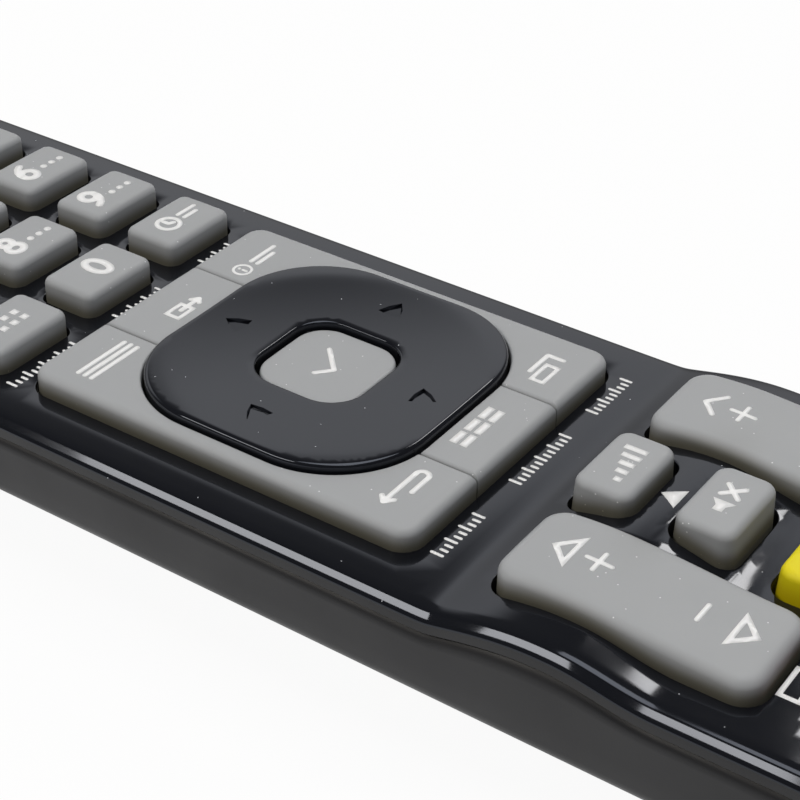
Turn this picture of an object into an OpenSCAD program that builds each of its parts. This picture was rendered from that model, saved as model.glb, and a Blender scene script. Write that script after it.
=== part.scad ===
// Universal remote control: gloss cover with a low wave, rubber keys, tilting
// direction ring, two rockers, circuit board, two cells and a sliding battery door.
// X runs across, +Y points to the emitter end, Z = 0 is the flat of the belly.

/* [Body] */
// Overall length
body_length = 217; // [214:1:240]
// Overall width
body_width = 51; // [50:0.5:60]
// Depth from the flat panel down to the belly
body_depth = 19.8; // [19.6:0.1:24]
// Corner radius of the outline
corner_radius = 12; // [8:0.5:16]
// Wall of the cover
cover_wall = 1.8; // [1.4:0.1:2]
// Wall of the lower shell
shell_wall = 1.8; // [1.2:0.1:2.2]
// Width of the rolled rim round the panel
rim_width = 1; // [0.8:0.1:2.4]
// How far the rolled rim falls below the panel
rim_drop = 0.9; // [0.6:0.1:1.7]
// Height of the cover's side, from the panel to the parting line
skirt_height = 2.6; // [2.4:0.1:4.5]
// Gap at the parting line
parting_gap = 0.3; // [0.1:0.05:0.5]
// Depth of the upright side wall below the panel
side_depth = 10.1; // [8:0.1:11]
// Draft of the side wall on each side
side_draft = 0.4; // [0:0.1:1]
// Width of the flat of the belly
belly_width = 27; // [26:0.5:32]
// Radius of the belly at both ends
belly_end_radius = 6; // [3:0.5:8]

/* [Wave] */
// Height of the wave's crest above the panel
wave_height = 2; // [0.5:0.05:2.5]
// Distance from the ring's centre to the crease where the wave starts
wave_start = 29.5; // [27:0.5:31]
// Distance from the ring's centre to the crest
wave_crest = 41.5; // [38:0.5:48]
// Distance from the ring's centre to the end of the wave
wave_end = 66; // [60:0.5:75]

/* [Keys] */
// Distance between key columns
column_pitch = 14; // [13.4:0.1:15]
// Distance between key rows
row_pitch = 11.1; // [10.4:0.1:11.2]
// Distance of the lowest number row from the ring's centre
row_reach = 32.3; // [31.5:0.1:32.4]
// Width of a key
key_width = 10.8; // [8:0.1:11.2]
// Length of a key along the body
key_length = 7.4; // [5.5:0.1:7.6]
// Corner radius of a key
key_corner = 1.1; // [0.8:0.1:2.5]
// Height of a key above the panel
key_rise = 2.8; // [1.5:0.1:3.5]
// Gap between a key and its aperture
key_gap = 0.3; // [0.2:0.05:0.5]
// How far a key's stop flange reaches past the key
flange_width = 0.9; // [0.6:0.1:1.2]
// Thickness of the stop flange
flange_thick = 0.8; // [0.5:0.1:1]
// Gap between a stop flange and the cover
flange_gap = 0.15; // [0.1:0.05:0.3]
// Travel of a key
key_travel = 0.9; // [0.5:0.1:1]
// Radius of a key's contact stem
stem_radius = 1.6; // [1:0.1:2]

/* [Direction ring] */
// Distance of the ring's centre from the middle of the body
ring_y = 4; // [3:0.5:6]
// Width of the ring
ring_width = 34.5; // [30:0.1:34.6]
// Length of the ring
ring_length = 33.2; // [30:0.1:33.4]
// Corner radius of the ring
ring_corner = 11.2; // [8:0.1:13]
// Height of the ring above the panel
ring_rise = 3; // [2.6:0.05:3.4]
// Depth of the hollow in the ring's top
ring_dish = 1.1; // [0.6:0.05:1.2]
// Wall of the ring
ring_wall = 1.4; // [1.2:0.1:1.8]
// Gap between the ring and the keys round it
ring_gap = 0.5; // [0.4:0.05:0.7]
// Width of the confirm key
confirm_width = 12.6; // [9:0.1:12.8]
// Length of the confirm key
confirm_length = 12.2; // [9:0.1:12.6]
// Corner radius of the confirm key
confirm_corner = 3.6; // [2:0.1:4]
// Height of the confirm key above the panel
confirm_rise = 2; // [1.5:0.05:2.4]
// Gap between the confirm key and the ring
confirm_gap = 0.4; // [0.3:0.05:0.6]
// Distance of the ring's contact stems from its centre
ring_stem_reach = 12.2; // [11.8:0.1:12.8]
// Tilt of the ring to each side, in degrees
ring_tilt = 2; // [1:0.25:2.5]

/* [Key block] */
// Width of the block of six keys round the ring
block_width = 38.6; // [38.2:0.1:40]
// Length of the block
block_length = 48.2; // [46:0.1:49]
// Distance of the block's middle from the ring's centre, towards the number keys
block_shift = 0.5; // [0:0.1:0.8]
// Corner radius of the block
block_corner = 2.2; // [1:0.1:4]
// Height of the block above the panel
block_rise = 2.2; // [1.5:0.05:2.8]
// Distance of the grooves from the middle
groove_offset = 7.5; // [6:0.1:9]
// Width of the grooves between block keys
groove_gap = 0.4; // [0.2:0.05:0.8]
// Width of the fine split beside the ring
split_gap = 0.12; // [0.1:0.02:0.3]

/* [Rockers] */
// Width of a rocker
rocker_width = 11.9; // [9:0.1:12.2]
// Length of a rocker
rocker_length = 26.8; // [22:0.1:27]
// Corner radius of a rocker
rocker_corner = 2.2; // [1:0.1:4]
// Distance of the rockers' middle from the ring's centre
rocker_reach = 46.2; // [45.5:0.1:48]
// Height of a rocker above the panel at its ends
rocker_end_rise = 2.9; // [2:0.05:3.5]
// Height of a rocker above the panel at its waist
rocker_waist_rise = 2.2; // [1.5:0.05:3]
// Gap at the ends of a rocker
rocker_end_gap = 0.45; // [0.4:0.05:0.6]
// Distance of a rocker's middle line from the middle of the body
rocker_offset = 14.4; // [14.2:0.1:15]
// Tilt of a rocker to each side, in degrees
rocker_tilt = 3; // [1.5:0.25:3.5]
// Radius of a rocker's pivot pin
rocker_pin_radius = 0.9; // [0.6:0.05:1.1]
// Distance of a rocker's contact stems from its pin
rocker_stem_reach = 9; // [7:0.1:10]
// Width of a key between the rockers
middle_width = 11; // [9:0.1:11.2]
// Length of a key between the rockers
middle_length = 6.8; // [5.5:0.1:7.2]
// Height of a key between the rockers above the cover
middle_rise = 3.2; // [2:0.1:3.6]
// Distance between the keys in the middle
middle_pitch = 10.8; // [9.6:0.1:11]
// Distance of the first middle key from the ring's centre
middle_reach = 35.6; // [35:0.1:36.4]
// Distance of the colour keys' row from the ring's centre
colour_reach = 68; // [66:0.1:69]

/* [Inside] */
// Thickness of the rubber sheet under the keys
mat_thick = 1; // [0.6:0.1:1.2]
// Thickness of the circuit board
board_thick = 1.2; // [0.8:0.1:1.6]
// Gap between the board's edge and the shell
board_gap = 0.5; // [0.3:0.1:1]
// Side of the controller chip
chip_side = 10; // [6:0.5:14]
// Height of the controller chip
chip_height = 1.4; // [0.8:0.1:2]
// Radius of the emitter
emitter_radius = 2.5; // [1.5:0.1:2.8]
// Length of the emitter
emitter_length = 7; // [5:0.1:7.5]
// Width of the emitter window
window_width = 22; // [14:0.5:26]
// Height of the emitter window
window_height = 5.6; // [5:0.1:6]

/* [Battery] */
// Radius of a cell
cell_radius = 5.25; // [5:0.05:5.4]
// Length of a cell, nub left out
cell_length = 43.7; // [42:0.1:44.5]
// Radius of a cell's nub
nub_radius = 1.9; // [1.5:0.1:2.5]
// Height of a cell's nub
nub_height = 0.8; // [0.5:0.1:1.2]
// Gap between the cells
cell_spacing = 0.7; // [0.4:0.1:1.2]
// Length of a contact spring
spring_length = 3; // [2:0.1:4]
// Radius of a contact spring
spring_radius = 2.6; // [2:0.1:3.2]
// Thickness of a contact plate
plate_thick = 0.5; // [0.3:0.1:0.8]
// Side of a contact plate
plate_side = 8; // [6:0.5:9]
// Wall of the battery box
box_wall = 1; // [0.8:0.1:1.4]
// Width of the battery door
door_width = 23.8; // [23:0.1:24.4]
// Thickness of the battery door
door_thick = 1.5; // [1.2:0.05:1.6]
// Gap round the battery door
door_gap = 0.2; // [0.1:0.05:0.3]
// Travel of the battery door along the body
door_travel = 8; // [4:0.5:9]
// Length of a guide hook on the battery door
hook_length = 6; // [4:0.5:8]

/* [Fasteners] */
// Radius of a screw's shank
screw_radius = 0.85; // [0.6:0.05:1]
// Radius of a screw's head
screw_head_radius = 1.9; // [1.5:0.1:2.1]
// Height of a screw's head
screw_head_height = 1.4; // [1:0.1:1.6]
// Length of a screw's shank
screw_length = 8.5; // [7:0.1:9]
// Distance of the screws from the middle line
screw_offset = 8; // [7:0.1:9]
// Distance of the screws from the body's ends
screw_inset = 9.2; // [8.6:0.1:9.4]

/* [Hidden] */
$fn = 32;
corner_steps = 5;
rim_steps = 3;
wave_steps = 16;
end_steps = 6;
dish_steps = 8;
over = 1;

// Clearances that many fits share
fit_gap = 0.15;
loose_gap = 0.35;
stem_spare = 0.1;
mat_spare = 0.55;
screw_spare = 0.2;
thread_spare = 0.05;
tilt_room = 0.4;
pivot_room = 0.3;

// Walls and steps that no other size sets
boss_wall = 1.5;
boss_clear = 4;
seat_wall = 3;
end_clear = 1.1;
box_side_room = 2.4;
emitter_room = 1.4;
emitter_lead = 0.5;
emitter_lead_pitch = 2.54;
emitter_lead_hold = 2;
window_lip = 1;
window_over_board = 1;
spring_wire = 0.6;
sleeve_wall = 1;
collar_wall = 1.5;
collar_lift = 0.7;
hook_reach = 1;
hook_thick = 0.8;
hook_web = 1.2;
hook_inset = 2;

// Levels, from the panel down
panel_z = body_depth;
crest_z = panel_z + wave_height;
ceiling_z = panel_z - cover_wall;
flange_top = ceiling_z - flange_gap;
flange_bottom = flange_top - flange_thick;
mat_top = flange_bottom - key_travel - mat_spare;
board_top = mat_top - mat_thick;
board_bottom = board_top - board_thick;
stem_bottom = board_top + key_travel + stem_spare;
flange_room_low = flange_bottom - key_travel - fit_gap;
roof_top = board_bottom - fit_gap;
roof_bottom = roof_top - box_wall;
cell_z = roof_bottom - fit_gap - cell_radius;
parting_z = panel_z - skirt_height;
chine_z = panel_z - side_depth;
boss_split_z = board_bottom - boss_clear;
screw_seat = boss_split_z - seat_wall;

// Half sizes and ends of the body
half_width = body_width / 2;
half_length = body_length / 2;
chine_half = half_width - side_draft;
belly_half = belly_width / 2;
screw_y = half_length - screw_inset;
boss_radius = screw_head_radius + boss_wall;
post_radius = screw_radius + boss_wall;
board_end = screw_y - post_radius - end_clear;
board_width = body_width - 2 * shell_wall - 2 * board_gap;
board_corner = corner_radius / 3;

// Battery box along Y, from its lower end wall
box_inside = cell_length + nub_height + spring_length + 2 * plate_thick + 2 * fit_gap;
box_low = -screw_y + boss_radius;
box_high = box_low + box_inside;
cell_x = cell_radius + cell_spacing / 2;
box_half = door_width / 2 + box_side_room;
door_top = door_thick;
door_clear = max(door_top, shell_wall) + door_gap;
door_end = box_high + box_wall;

RUBBER = [0.64, 0.645, 0.65];
GLOSS = [0.13, 0.13, 0.15];
SATIN = [0.24, 0.24, 0.25];

// Place of the number rows and of the rows below the rockers, from the ring's centre
function row_y(row) = ring_y + row_reach + row * row_pitch;
function low_row_y(row) = ring_y - colour_reach - row * row_pitch;
function middle_y(row) = ring_y - middle_reach - row * middle_pitch;

// Plain keys: name, column and place along Y, then the colour where it isn't grey
NUMBER_KEYS = [
    ["key_1", -1, row_y(3)], ["key_2", 0, row_y(3)], ["key_3", 1, row_y(3)],
    ["key_4", -1, row_y(2)], ["key_5", 0, row_y(2)], ["key_6", 1, row_y(2)],
    ["key_7", -1, row_y(1)], ["key_8", 0, row_y(1)], ["key_9", 1, row_y(1)],
    ["apps_key", -1, row_y(0)], ["key_0", 0, row_y(0)], ["timer_key", 1, row_y(0)],
    ["list_key", -1, row_y(4)], ["page_key", 0, row_y(4)], ["return_key", 1, row_y(4)],
    ["power_key", -1, row_y(5)], ["input_key", 1, row_y(5)],
    ["rewind_key", -1, low_row_y(1)], ["play_key", 0, low_row_y(1)], ["forward_key", 1, low_row_y(1)],
    ["record_key", -1, low_row_y(2)], ["stop_key", 0, low_row_y(2)], ["pause_key", 1, low_row_y(2)]
];
COLOUR_KEYS = [
    ["red_key", -1, low_row_y(0), [0.75, 0.1, 0.1]],
    ["green_key", 0, low_row_y(0), [0.1, 0.5, 0.2]],
    ["blue_key", 1, low_row_y(0), [0.1, 0.25, 0.65]]
];
MIDDLE_KEYS = [
    ["sound_key", middle_y(0), RUBBER],
    ["mute_key", middle_y(1), RUBBER],
    ["yellow_key", middle_y(2), [0.9, 0.8, 0.1]]
];
// Every plain key: name, X, Y, width, length, colour, height above the cover
KEYS = concat(
    [for (k = NUMBER_KEYS) [k[0], k[1] * column_pitch, k[2], key_width, key_length, RUBBER, key_rise]],
    [for (k = COLOUR_KEYS) [k[0], k[1] * column_pitch, k[2], key_width, key_length, k[3], key_rise]],
    [for (k = MIDDLE_KEYS) [k[0], 0, k[1], middle_width, middle_length, k[2], middle_rise]]
);

// Block keys: name, column, side of the ring (1 is the emitter side)
BLOCK_KEYS = [
    ["menu_key", -1, 1], ["source_key", 0, 1], ["info_key", 1, 1],
    ["exit_key", -1, -1], ["guide_key", 0, -1], ["view_key", 1, -1]
];
ROCKERS = [["volume_rocker", -1], ["channel_rocker", 1]];
rocker_y = ring_y - rocker_reach;

// Height of the wave above the panel at a place along Y
function wave_at(d) =
    d <= wave_start || d >= wave_end ? 0 :
    d < wave_crest ? wave_height * sin(90 * (d - wave_start) / (wave_crest - wave_start)) :
    wave_height * (1 + cos(180 * (d - wave_crest) / (wave_end - wave_crest))) / 2;
function wave(y) = wave_at(ring_y - y);
WAVE_Y = [for (i = [wave_steps:-1:0]) ring_y - wave_start - i * (wave_end - wave_start) / wave_steps];

// Points of a rectangle with round corners, centred on the origin
function round_points(w, l, r) = [
    for (c = [[1, 1, 0], [-1, 1, 90], [-1, -1, 180], [1, -1, 270]])
        for (i = [0:corner_steps])
            [c[0] * (w / 2 - r) + r * cos(c[2] + 90 * i / corner_steps),
             c[1] * (l / 2 - r) + r * sin(c[2] + 90 * i / corner_steps)]
];
module round_rect(w, l, r) {
    polygon(round_points(w, l, r));
}

// A prism of a rounded rectangle between two levels
module round_prism(x, y, w, l, r, low, high) {
    translate([x, y, low])
        linear_extrude(high - low)
            round_rect(w, l, r);
}

// Plan of the body, taken in by an inset
module body_plan(inset) {
    round_rect(body_width - 2 * inset, body_length - 2 * inset, corner_radius - inset);
}

// A side view (Y, Z) carried across the whole width
module across(points) {
    rotate([90, 0, 90])
        translate([0, 0, -half_width - over])
            linear_extrude(body_width + 2 * over)
                polygon(points);
}

// A cross-section (X, Z) carried along the whole length
module along(points) {
    rotate([90, 0, 0])
        translate([0, 0, -half_length - over])
            linear_extrude(body_length + 2 * over)
                polygon(points);
}

// Side view of everything between two levels that both follow the wave
function wave_line(level) = concat(
    [[-half_length - over, level]],
    [for (y = WAVE_Y) [y, level + wave(y)]],
    [[half_length + over, level]]
);
function reversed(list) = [for (i = [len(list) - 1:-1:0]) list[i]];
module wave_band(low, high) {
    across(concat(wave_line(low), reversed(wave_line(high))));
}
module below_wave(high) {
    across(concat([[half_length + over, -over], [-half_length - over, -over]], wave_line(high)));
}

// Lower hull: upright walls, a sloping chine, a flat belly with round ends
chine_run = chine_half - belly_half;
chine_length = norm([chine_run, chine_z]);
function hull_section(t) =
    let (up = (1 - chine_z / chine_length) / (chine_run / chine_length) * t)
    let (aside = (1 - chine_run / chine_length) / (chine_z / chine_length) * t)
    [[belly_half - aside, t], [chine_half - t, chine_z + up], [half_width - t, panel_z],
     [-half_width + t, panel_z], [-chine_half + t, chine_z + up], [-belly_half + aside, t]];
function hull_ends(t) =
    let (r = belly_end_radius - t)
    let (c = half_length - belly_end_radius)
    concat(
        [for (i = [0:end_steps]) [c + r * sin(90 * i / end_steps), t + r - r * cos(90 * i / end_steps)]],
        [[half_length - t, crest_z + over], [-half_length + t, crest_z + over]],
        [for (i = [end_steps:-1:0]) [-c - r * sin(90 * i / end_steps), t + r - r * cos(90 * i / end_steps)]]
    );
module lower_hull(t) {
    intersection() {
        translate([0, 0, t - over])
            linear_extrude(panel_z + over)
                body_plan(t);
        along(hull_section(t));
        across(hull_ends(t));
    }
}

// Plans of the parts that come through the cover
module key_plan(k, grow) {
    translate([k[1], k[2]])
        round_rect(k[3] + 2 * grow, k[4] + 2 * grow, key_corner + grow);
}
module block_plan(grow) {
    translate([0, ring_y + block_shift])
        round_rect(block_width + 2 * grow, block_length + 2 * grow, block_corner + grow);
}
module rocker_plan(side, grow_x, grow_y) {
    translate([side * rocker_offset, rocker_y])
        round_rect(rocker_width + 2 * grow_x, rocker_length + 2 * grow_y, rocker_corner + grow_x);
}
module apertures() {
    for (k = KEYS) key_plan(k, key_gap);
    block_plan(key_gap);
    for (r = ROCKERS) rocker_plan(r[1], key_gap, rocker_end_gap);
}

// Pilot posts of the cover and seats of the screws
module at_screws() {
    for (x = [-screw_offset, screw_offset])
        for (y = [-screw_y, screw_y])
            translate([x, y, 0]) children();
}

module top_cover() {
    color(GLOSS) {
        difference() {
            union() {
                for (i = [0:rim_steps])
                    intersection() {
                        translate([0, 0, parting_z])
                            linear_extrude(crest_z + over - parting_z)
                                body_plan(rim_width * i / rim_steps);
                        wave_band(parting_z + parting_gap, panel_z - rim_drop * pow(1 - i / rim_steps, 2));
                    }
            }
            translate([0, 0, parting_z - over])
                linear_extrude(ceiling_z - parting_z + over)
                    body_plan(shell_wall);
            translate([0, 0, ceiling_z - over])
                linear_extrude(crest_z - ceiling_z + 2 * over)
                    apertures();
        }
        difference() {
            at_screws()
                translate([0, 0, boss_split_z + fit_gap])
                    difference() {
                        cylinder(h = ceiling_z - boss_split_z - fit_gap, r = post_radius);
                        translate([0, 0, -over])
                            cylinder(h = screw_length - seat_wall + 2 * over, r = screw_radius + thread_spare);
                    }
            translate([0, 0, flange_room_low])
                linear_extrude(ceiling_z - flange_room_low)
                    for (k = KEYS) key_plan(k, flange_width + fit_gap);
        }
    }
}

window_low = roof_top - window_height + window_over_board;
module window_cut(grow) {
    translate([-window_width / 2 - grow, half_length - shell_wall - over, window_low - grow])
        cube([window_width + 2 * grow, shell_wall + 2 * over, window_height + 2 * grow]);
}
module door_cut() {
    w = door_width + 2 * door_gap;
    translate([-w / 2, -half_length - over, -over])
        cube([w, door_end + half_length + over, door_clear + over]);
}
module battery_box() {
    low = door_clear;
    for (y = [box_low - box_wall, box_high])
        translate([-box_half, y, low])
            cube([2 * box_half, box_wall, roof_top - low]);
    translate([-box_half, box_low - box_wall, roof_bottom])
        cube([2 * box_half, box_inside + 2 * box_wall, roof_top - roof_bottom]);
    for (x = [-box_half, box_half - box_wall])
        translate([x, box_low - box_wall, hook_top])
            cube([box_wall, box_inside + 2 * box_wall, roof_top - hook_top]);
}
module side_ribs() {
    rib_reach = box_half;
    for (side = [-1, 1])
        for (y = [box_low - box_wall, box_high])
            translate([side > 0 ? rib_reach - box_wall : -half_width + shell_wall / 2, y, chine_z])
                cube([half_width - shell_wall / 2 - rib_reach + box_wall, box_wall, roof_top - chine_z]);
}
module bottom_cover() {
    color(SATIN)
        difference() {
            union() {
                difference() {
                    intersection() {
                        lower_hull(0);
                        below_wave(parting_z);
                    }
                    lower_hull(shell_wall);
                    translate([0, 0, parting_z - skirt_height])
                        linear_extrude(crest_z)
                            body_plan(shell_wall);
                }
                battery_box();
                side_ribs();
                at_screws()
                    translate([0, 0, shell_wall / 2])
                        cylinder(h = boss_split_z - shell_wall / 2, r = boss_radius);
            }
            door_cut();
            window_cut(fit_gap);
            at_screws() {
                translate([0, 0, -over])
                    cylinder(h = screw_seat + over, r = screw_head_radius + screw_spare);
                cylinder(h = boss_split_z + over, r = screw_radius + screw_spare);
            }
        }
}

// Door: the flat of the belly under the cells, with four guide hooks on its edges
hook_low = shell_wall + door_gap;
hook_top = hook_low + hook_thick + loose_gap;
hook_places = [box_low + door_travel + hook_inset, box_high - hook_length - hook_inset];
module battery_door() {
    color(SATIN) {
        intersection() {
            lower_hull(0);
            translate([-door_width / 2, -half_length - over, -over])
                cube([door_width, door_end - door_gap + half_length + over, door_top + over]);
        }
        for (y = hook_places)
            for (side = [-1, 1]) {
                inner = door_width / 2 - hook_web;
                translate([side > 0 ? inner : -door_width / 2, y, door_top - door_gap])
                    cube([hook_web, hook_length, hook_low + hook_thick - door_top + door_gap]);
                translate([side > 0 ? inner : -door_width / 2 - hook_reach, y, hook_low])
                    cube([hook_web + hook_reach, hook_length, hook_thick]);
            }
    }
}

// Holes in the rubber sheet, one under each contact stem
module stem_holes() {
    r = stem_radius + loose_gap;
    for (k = KEYS) translate([k[1], k[2]]) circle(r);
    for (k = BLOCK_KEYS) translate(block_stem(k)) circle(r);
    translate([0, ring_y]) circle(r);
    for (a = [0:90:270])
        translate([ring_stem_reach * cos(a), ring_y + ring_stem_reach * sin(a)]) circle(r);
    for (side = [-1, 1])
        for (y = [-rocker_stem_reach, rocker_stem_reach])
            translate([side * rocker_offset, rocker_y + y]) circle(r);
}
module board_plan() {
    round_rect(board_width, 2 * board_end, board_corner);
}
module keypad_mat() {
    color([0.3, 0.3, 0.32])
        translate([0, 0, board_top])
            linear_extrude(mat_thick)
                difference() {
                    board_plan();
                    stem_holes();
                }
}
module circuit_board() {
    color([0.1, 0.4, 0.2])
        translate([0, 0, board_bottom])
            linear_extrude(board_thick)
                board_plan();
}
module controller_chip() {
    color([0.1, 0.1, 0.1])
        translate([-chip_side / 2, ring_y - chip_side / 2, board_bottom - chip_height])
            cube([chip_side, chip_side, chip_height]);
}

// Emitter lying at the board's end behind its window, on two leads
emitter_y = half_length - shell_wall - emitter_room - emitter_length;
emitter_z = board_bottom - emitter_radius;
module emitter() {
    lead = emitter_lead;
    lead_start = board_end - emitter_lead_hold;
    color([0.6, 0.6, 0.75]) {
        translate([0, emitter_y, emitter_z])
            rotate([-90, 0, 0])
                cylinder(h = emitter_length, r = emitter_radius);
        for (side = [-1, 1])
            translate([side * emitter_lead_pitch / 2 - lead / 2, lead_start, board_bottom - lead])
                cube([lead, emitter_y - lead_start + lead, lead]);
    }
}
module emitter_window() {
    lip = window_lip;
    color([0.12, 0.04, 0.06]) {
        intersection() {
            window_cut(0);
            lower_hull(0);
        }
        translate([-window_width / 2 - lip, half_length - shell_wall - fit_gap - lip, window_low - lip])
            cube([window_width + 2 * lip, lip, window_height + 2 * lip]);
        translate([-window_width / 2, half_length - shell_wall - fit_gap - lip, window_low])
            cube([window_width, lip + 2 * fit_gap, window_height]);
    }
}

// Cells, springs and plates: the left cell's spring is at the lower end
function spring_end(side) = side < 0 ? box_low + plate_thick : box_high - plate_thick;
module cell(side) {
    start = side < 0
        ? box_low + plate_thick + spring_length + fit_gap
        : box_high - plate_thick - spring_length - fit_gap;
    translate([side * cell_x, start, cell_z])
        rotate([side < 0 ? -90 : 90, 0, 0]) {
            cylinder(h = cell_length, r = cell_radius);
            cylinder(h = cell_length + nub_height, r = nub_radius);
        }
}
module battery_left() {
    color([0.75, 0.6, 0.25]) cell(-1);
}
module battery_right() {
    color([0.75, 0.6, 0.25]) cell(1);
}
module battery_springs() {
    color([0.8, 0.8, 0.8])
        for (side = [-1, 1])
            translate([side * cell_x, spring_end(side), cell_z])
                rotate([side < 0 ? -90 : 90, 0, 0])
                    difference() {
                        cylinder(h = spring_length, r = spring_radius);
                        translate([0, 0, -over])
                            cylinder(h = spring_length + 2 * over, r = spring_radius - spring_wire);
                    }
}
module battery_contacts() {
    color([0.8, 0.8, 0.8])
        for (side = [-1, 1])
            for (y = [box_low, box_high - plate_thick])
                translate([side * cell_x - plate_side / 2, y, cell_z - plate_side / 2])
                    cube([plate_side, plate_thick, plate_side]);
}
module case_screws() {
    color([0.55, 0.55, 0.58])
        at_screws()
            translate([0, 0, screw_seat]) {
                translate([0, 0, -screw_head_height])
                    cylinder(h = screw_head_height, r = screw_head_radius);
                translate([0, 0, -screw_head_height / 2])
                    cylinder(h = screw_length + screw_head_height / 2, r = screw_radius);
            }
}

// Direction ring: a hollow gloss cap with four contact stems, on a rubber collar
ring_bottom = flange_bottom + pivot_room;
sleeve_bottom = flange_top + tilt_room;
ring_top = panel_z + ring_rise;
pocket_top = ring_top - ring_dish - ring_wall;
corner_cut = sqrt(2) - 1;
collar_low = mat_top + collar_lift;
collar_height = flange_top - stem_spare - collar_low;
confirm_reach = norm([confirm_width, confirm_length]) / 2 - corner_cut * confirm_corner;
collar_inside = confirm_reach + flange_width + tilt_room;
module ring_collar() {
    color([0.3, 0.3, 0.32])
        translate([0, ring_y, collar_low])
            difference() {
                cylinder(h = collar_height, r = collar_inside + collar_wall);
                translate([0, 0, -over])
                    cylinder(h = collar_height + 2 * over, r = collar_inside);
            }
}
module ring_plan(inset) {
    round_rect(ring_width - 2 * inset, ring_length - 2 * inset, ring_corner - inset);
}
module confirm_hole(grow) {
    round_rect(confirm_width + 2 * grow, confirm_length + 2 * grow, confirm_corner + grow);
}
module ring_hollow() {
    reach = ring_width / 2;
    shares = [for (i = [0:dish_steps]) i / dish_steps];
    floor = [for (t = shares) [reach * t, ring_top - ring_dish * (1 - t * t)]];
    rotate_extrude($fn = 96)
        polygon(concat(floor, [[reach, ring_top + over], [0, ring_top + over]]));
}
module direction_ring() {
    sleeve = confirm_gap + sleeve_wall;
    stem_low = board_top + ring_stem_reach * sin(ring_tilt) + stem_spare;
    color(GLOSS)
        translate([0, ring_y, 0]) {
            difference() {
                translate([0, 0, ring_bottom])
                    linear_extrude(ring_top - ring_bottom)
                        ring_plan(0);
                ring_hollow();
                translate([0, 0, ring_bottom - over])
                    linear_extrude(pocket_top - ring_bottom + over)
                        difference() {
                            ring_plan(ring_wall);
                            confirm_hole(sleeve);
                        }
                translate([0, 0, ring_bottom - over])
                    linear_extrude(sleeve_bottom - ring_bottom + over)
                        confirm_hole(sleeve + stem_spare);
                translate([0, 0, ring_bottom - over])
                    linear_extrude(ring_top - ring_bottom + 2 * over)
                        confirm_hole(confirm_gap);
            }
            for (a = [0:90:270])
                translate([ring_stem_reach * cos(a), ring_stem_reach * sin(a), stem_low])
                    cylinder(h = pocket_top + ring_wall / 2 - stem_low, r = stem_radius);
        }
}

// A contact stem from a key's flange towards the board
module key_stem(x, y) {
    translate([x, y, stem_bottom])
        cylinder(h = flange_bottom + flange_thick / 2 - stem_bottom, r = stem_radius);
}
module confirm_key() {
    color(RUBBER) {
        translate([0, ring_y, flange_bottom])
            linear_extrude(panel_z + confirm_rise - flange_bottom)
                confirm_hole(0);
        translate([0, ring_y, flange_bottom])
            linear_extrude(flange_thick)
                confirm_hole(flange_width);
        key_stem(0, ring_y);
    }
}

// A plain key: cap through the cover, stop flange under it, contact stem below
module push_key(k) {
    color(k[5]) {
        translate([0, 0, flange_bottom])
            linear_extrude(panel_z + wave(k[2]) + k[6] - flange_bottom)
                key_plan(k, 0);
        translate([0, 0, flange_bottom])
            linear_extrude(flange_thick)
                key_plan(k, flange_width);
        key_stem(k[1], k[2]);
    }
}

// A block key: its share of the block, outside the ring and between the grooves
block_stem_y = (block_length / 2 + ring_length / 2 + ring_gap) / 2;
function block_stem(k) = [
    k[1] * (block_width / 2 + groove_offset) / 2,
    ring_y + block_shift / 2 + k[2] * block_stem_y
];
module block_share(k) {
    far = block_width + block_length;
    half_groove = groove_gap / 2;
    left = k[1] < 0 ? -far : (k[1] == 0 ? -groove_offset + half_groove : groove_offset + half_groove);
    right = k[1] > 0 ? far : (k[1] == 0 ? groove_offset - half_groove : -groove_offset - half_groove);
    translate([left, ring_y + (k[2] > 0 ? split_gap / 2 : -far)])
        square([right - left, far - split_gap / 2]);
}
module block_key(k) {
    color(RUBBER) {
        translate([0, 0, flange_bottom])
            linear_extrude(panel_z + block_rise - flange_bottom)
                difference() {
                    intersection() {
                        block_plan(0);
                        block_share(k);
                    }
                    translate([0, ring_y]) ring_plan(-ring_gap);
                }
        translate([0, 0, flange_bottom])
            linear_extrude(flange_thick)
                difference() {
                    intersection() {
                        block_plan(flange_width);
                        block_share(k);
                    }
                    translate([0, ring_y]) ring_plan(-ring_gap);
                }
        key_stem(block_stem(k)[0], block_stem(k)[1]);
    }
}

// A rocker: a cap whose top follows the wave, with a pivot pin under the cover
rocker_pin_z = flange_top - rocker_pin_radius;
rocker_bottom = rocker_pin_z + fit_gap;
function rocker_top(y) =
    panel_z + wave(y) + rocker_waist_rise
    + (rocker_end_rise - rocker_waist_rise) * pow((y - rocker_y) / (rocker_length / 2), 2);
module rocker(side) {
    pin_length = rocker_width + 2 * key_gap + 2 * flange_width;
    stem_low = board_top + rocker_stem_reach * sin(rocker_tilt) + stem_spare;
    low_end = rocker_y - rocker_length / 2;
    tops = [for (i = [0:wave_steps]) low_end + i * rocker_length / wave_steps];
    color(RUBBER) {
        intersection() {
            translate([0, 0, rocker_bottom])
                linear_extrude(crest_z + rocker_end_rise + over - rocker_bottom)
                    rocker_plan(side, 0, 0);
            across(concat(
                [[low_end + rocker_length, rocker_bottom], [low_end, rocker_bottom]],
                [for (y = tops) [y, rocker_top(y)]]
            ));
        }
        translate([side * rocker_offset - pin_length / 2, rocker_y, rocker_pin_z])
            rotate([0, 90, 0])
                cylinder(h = pin_length, r = rocker_pin_radius);
        for (y = [-rocker_stem_reach, rocker_stem_reach])
            translate([side * rocker_offset, rocker_y + y, stem_low])
                cylinder(h = rocker_bottom + flange_thick - stem_low, r = stem_radius);
    }
}

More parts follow.
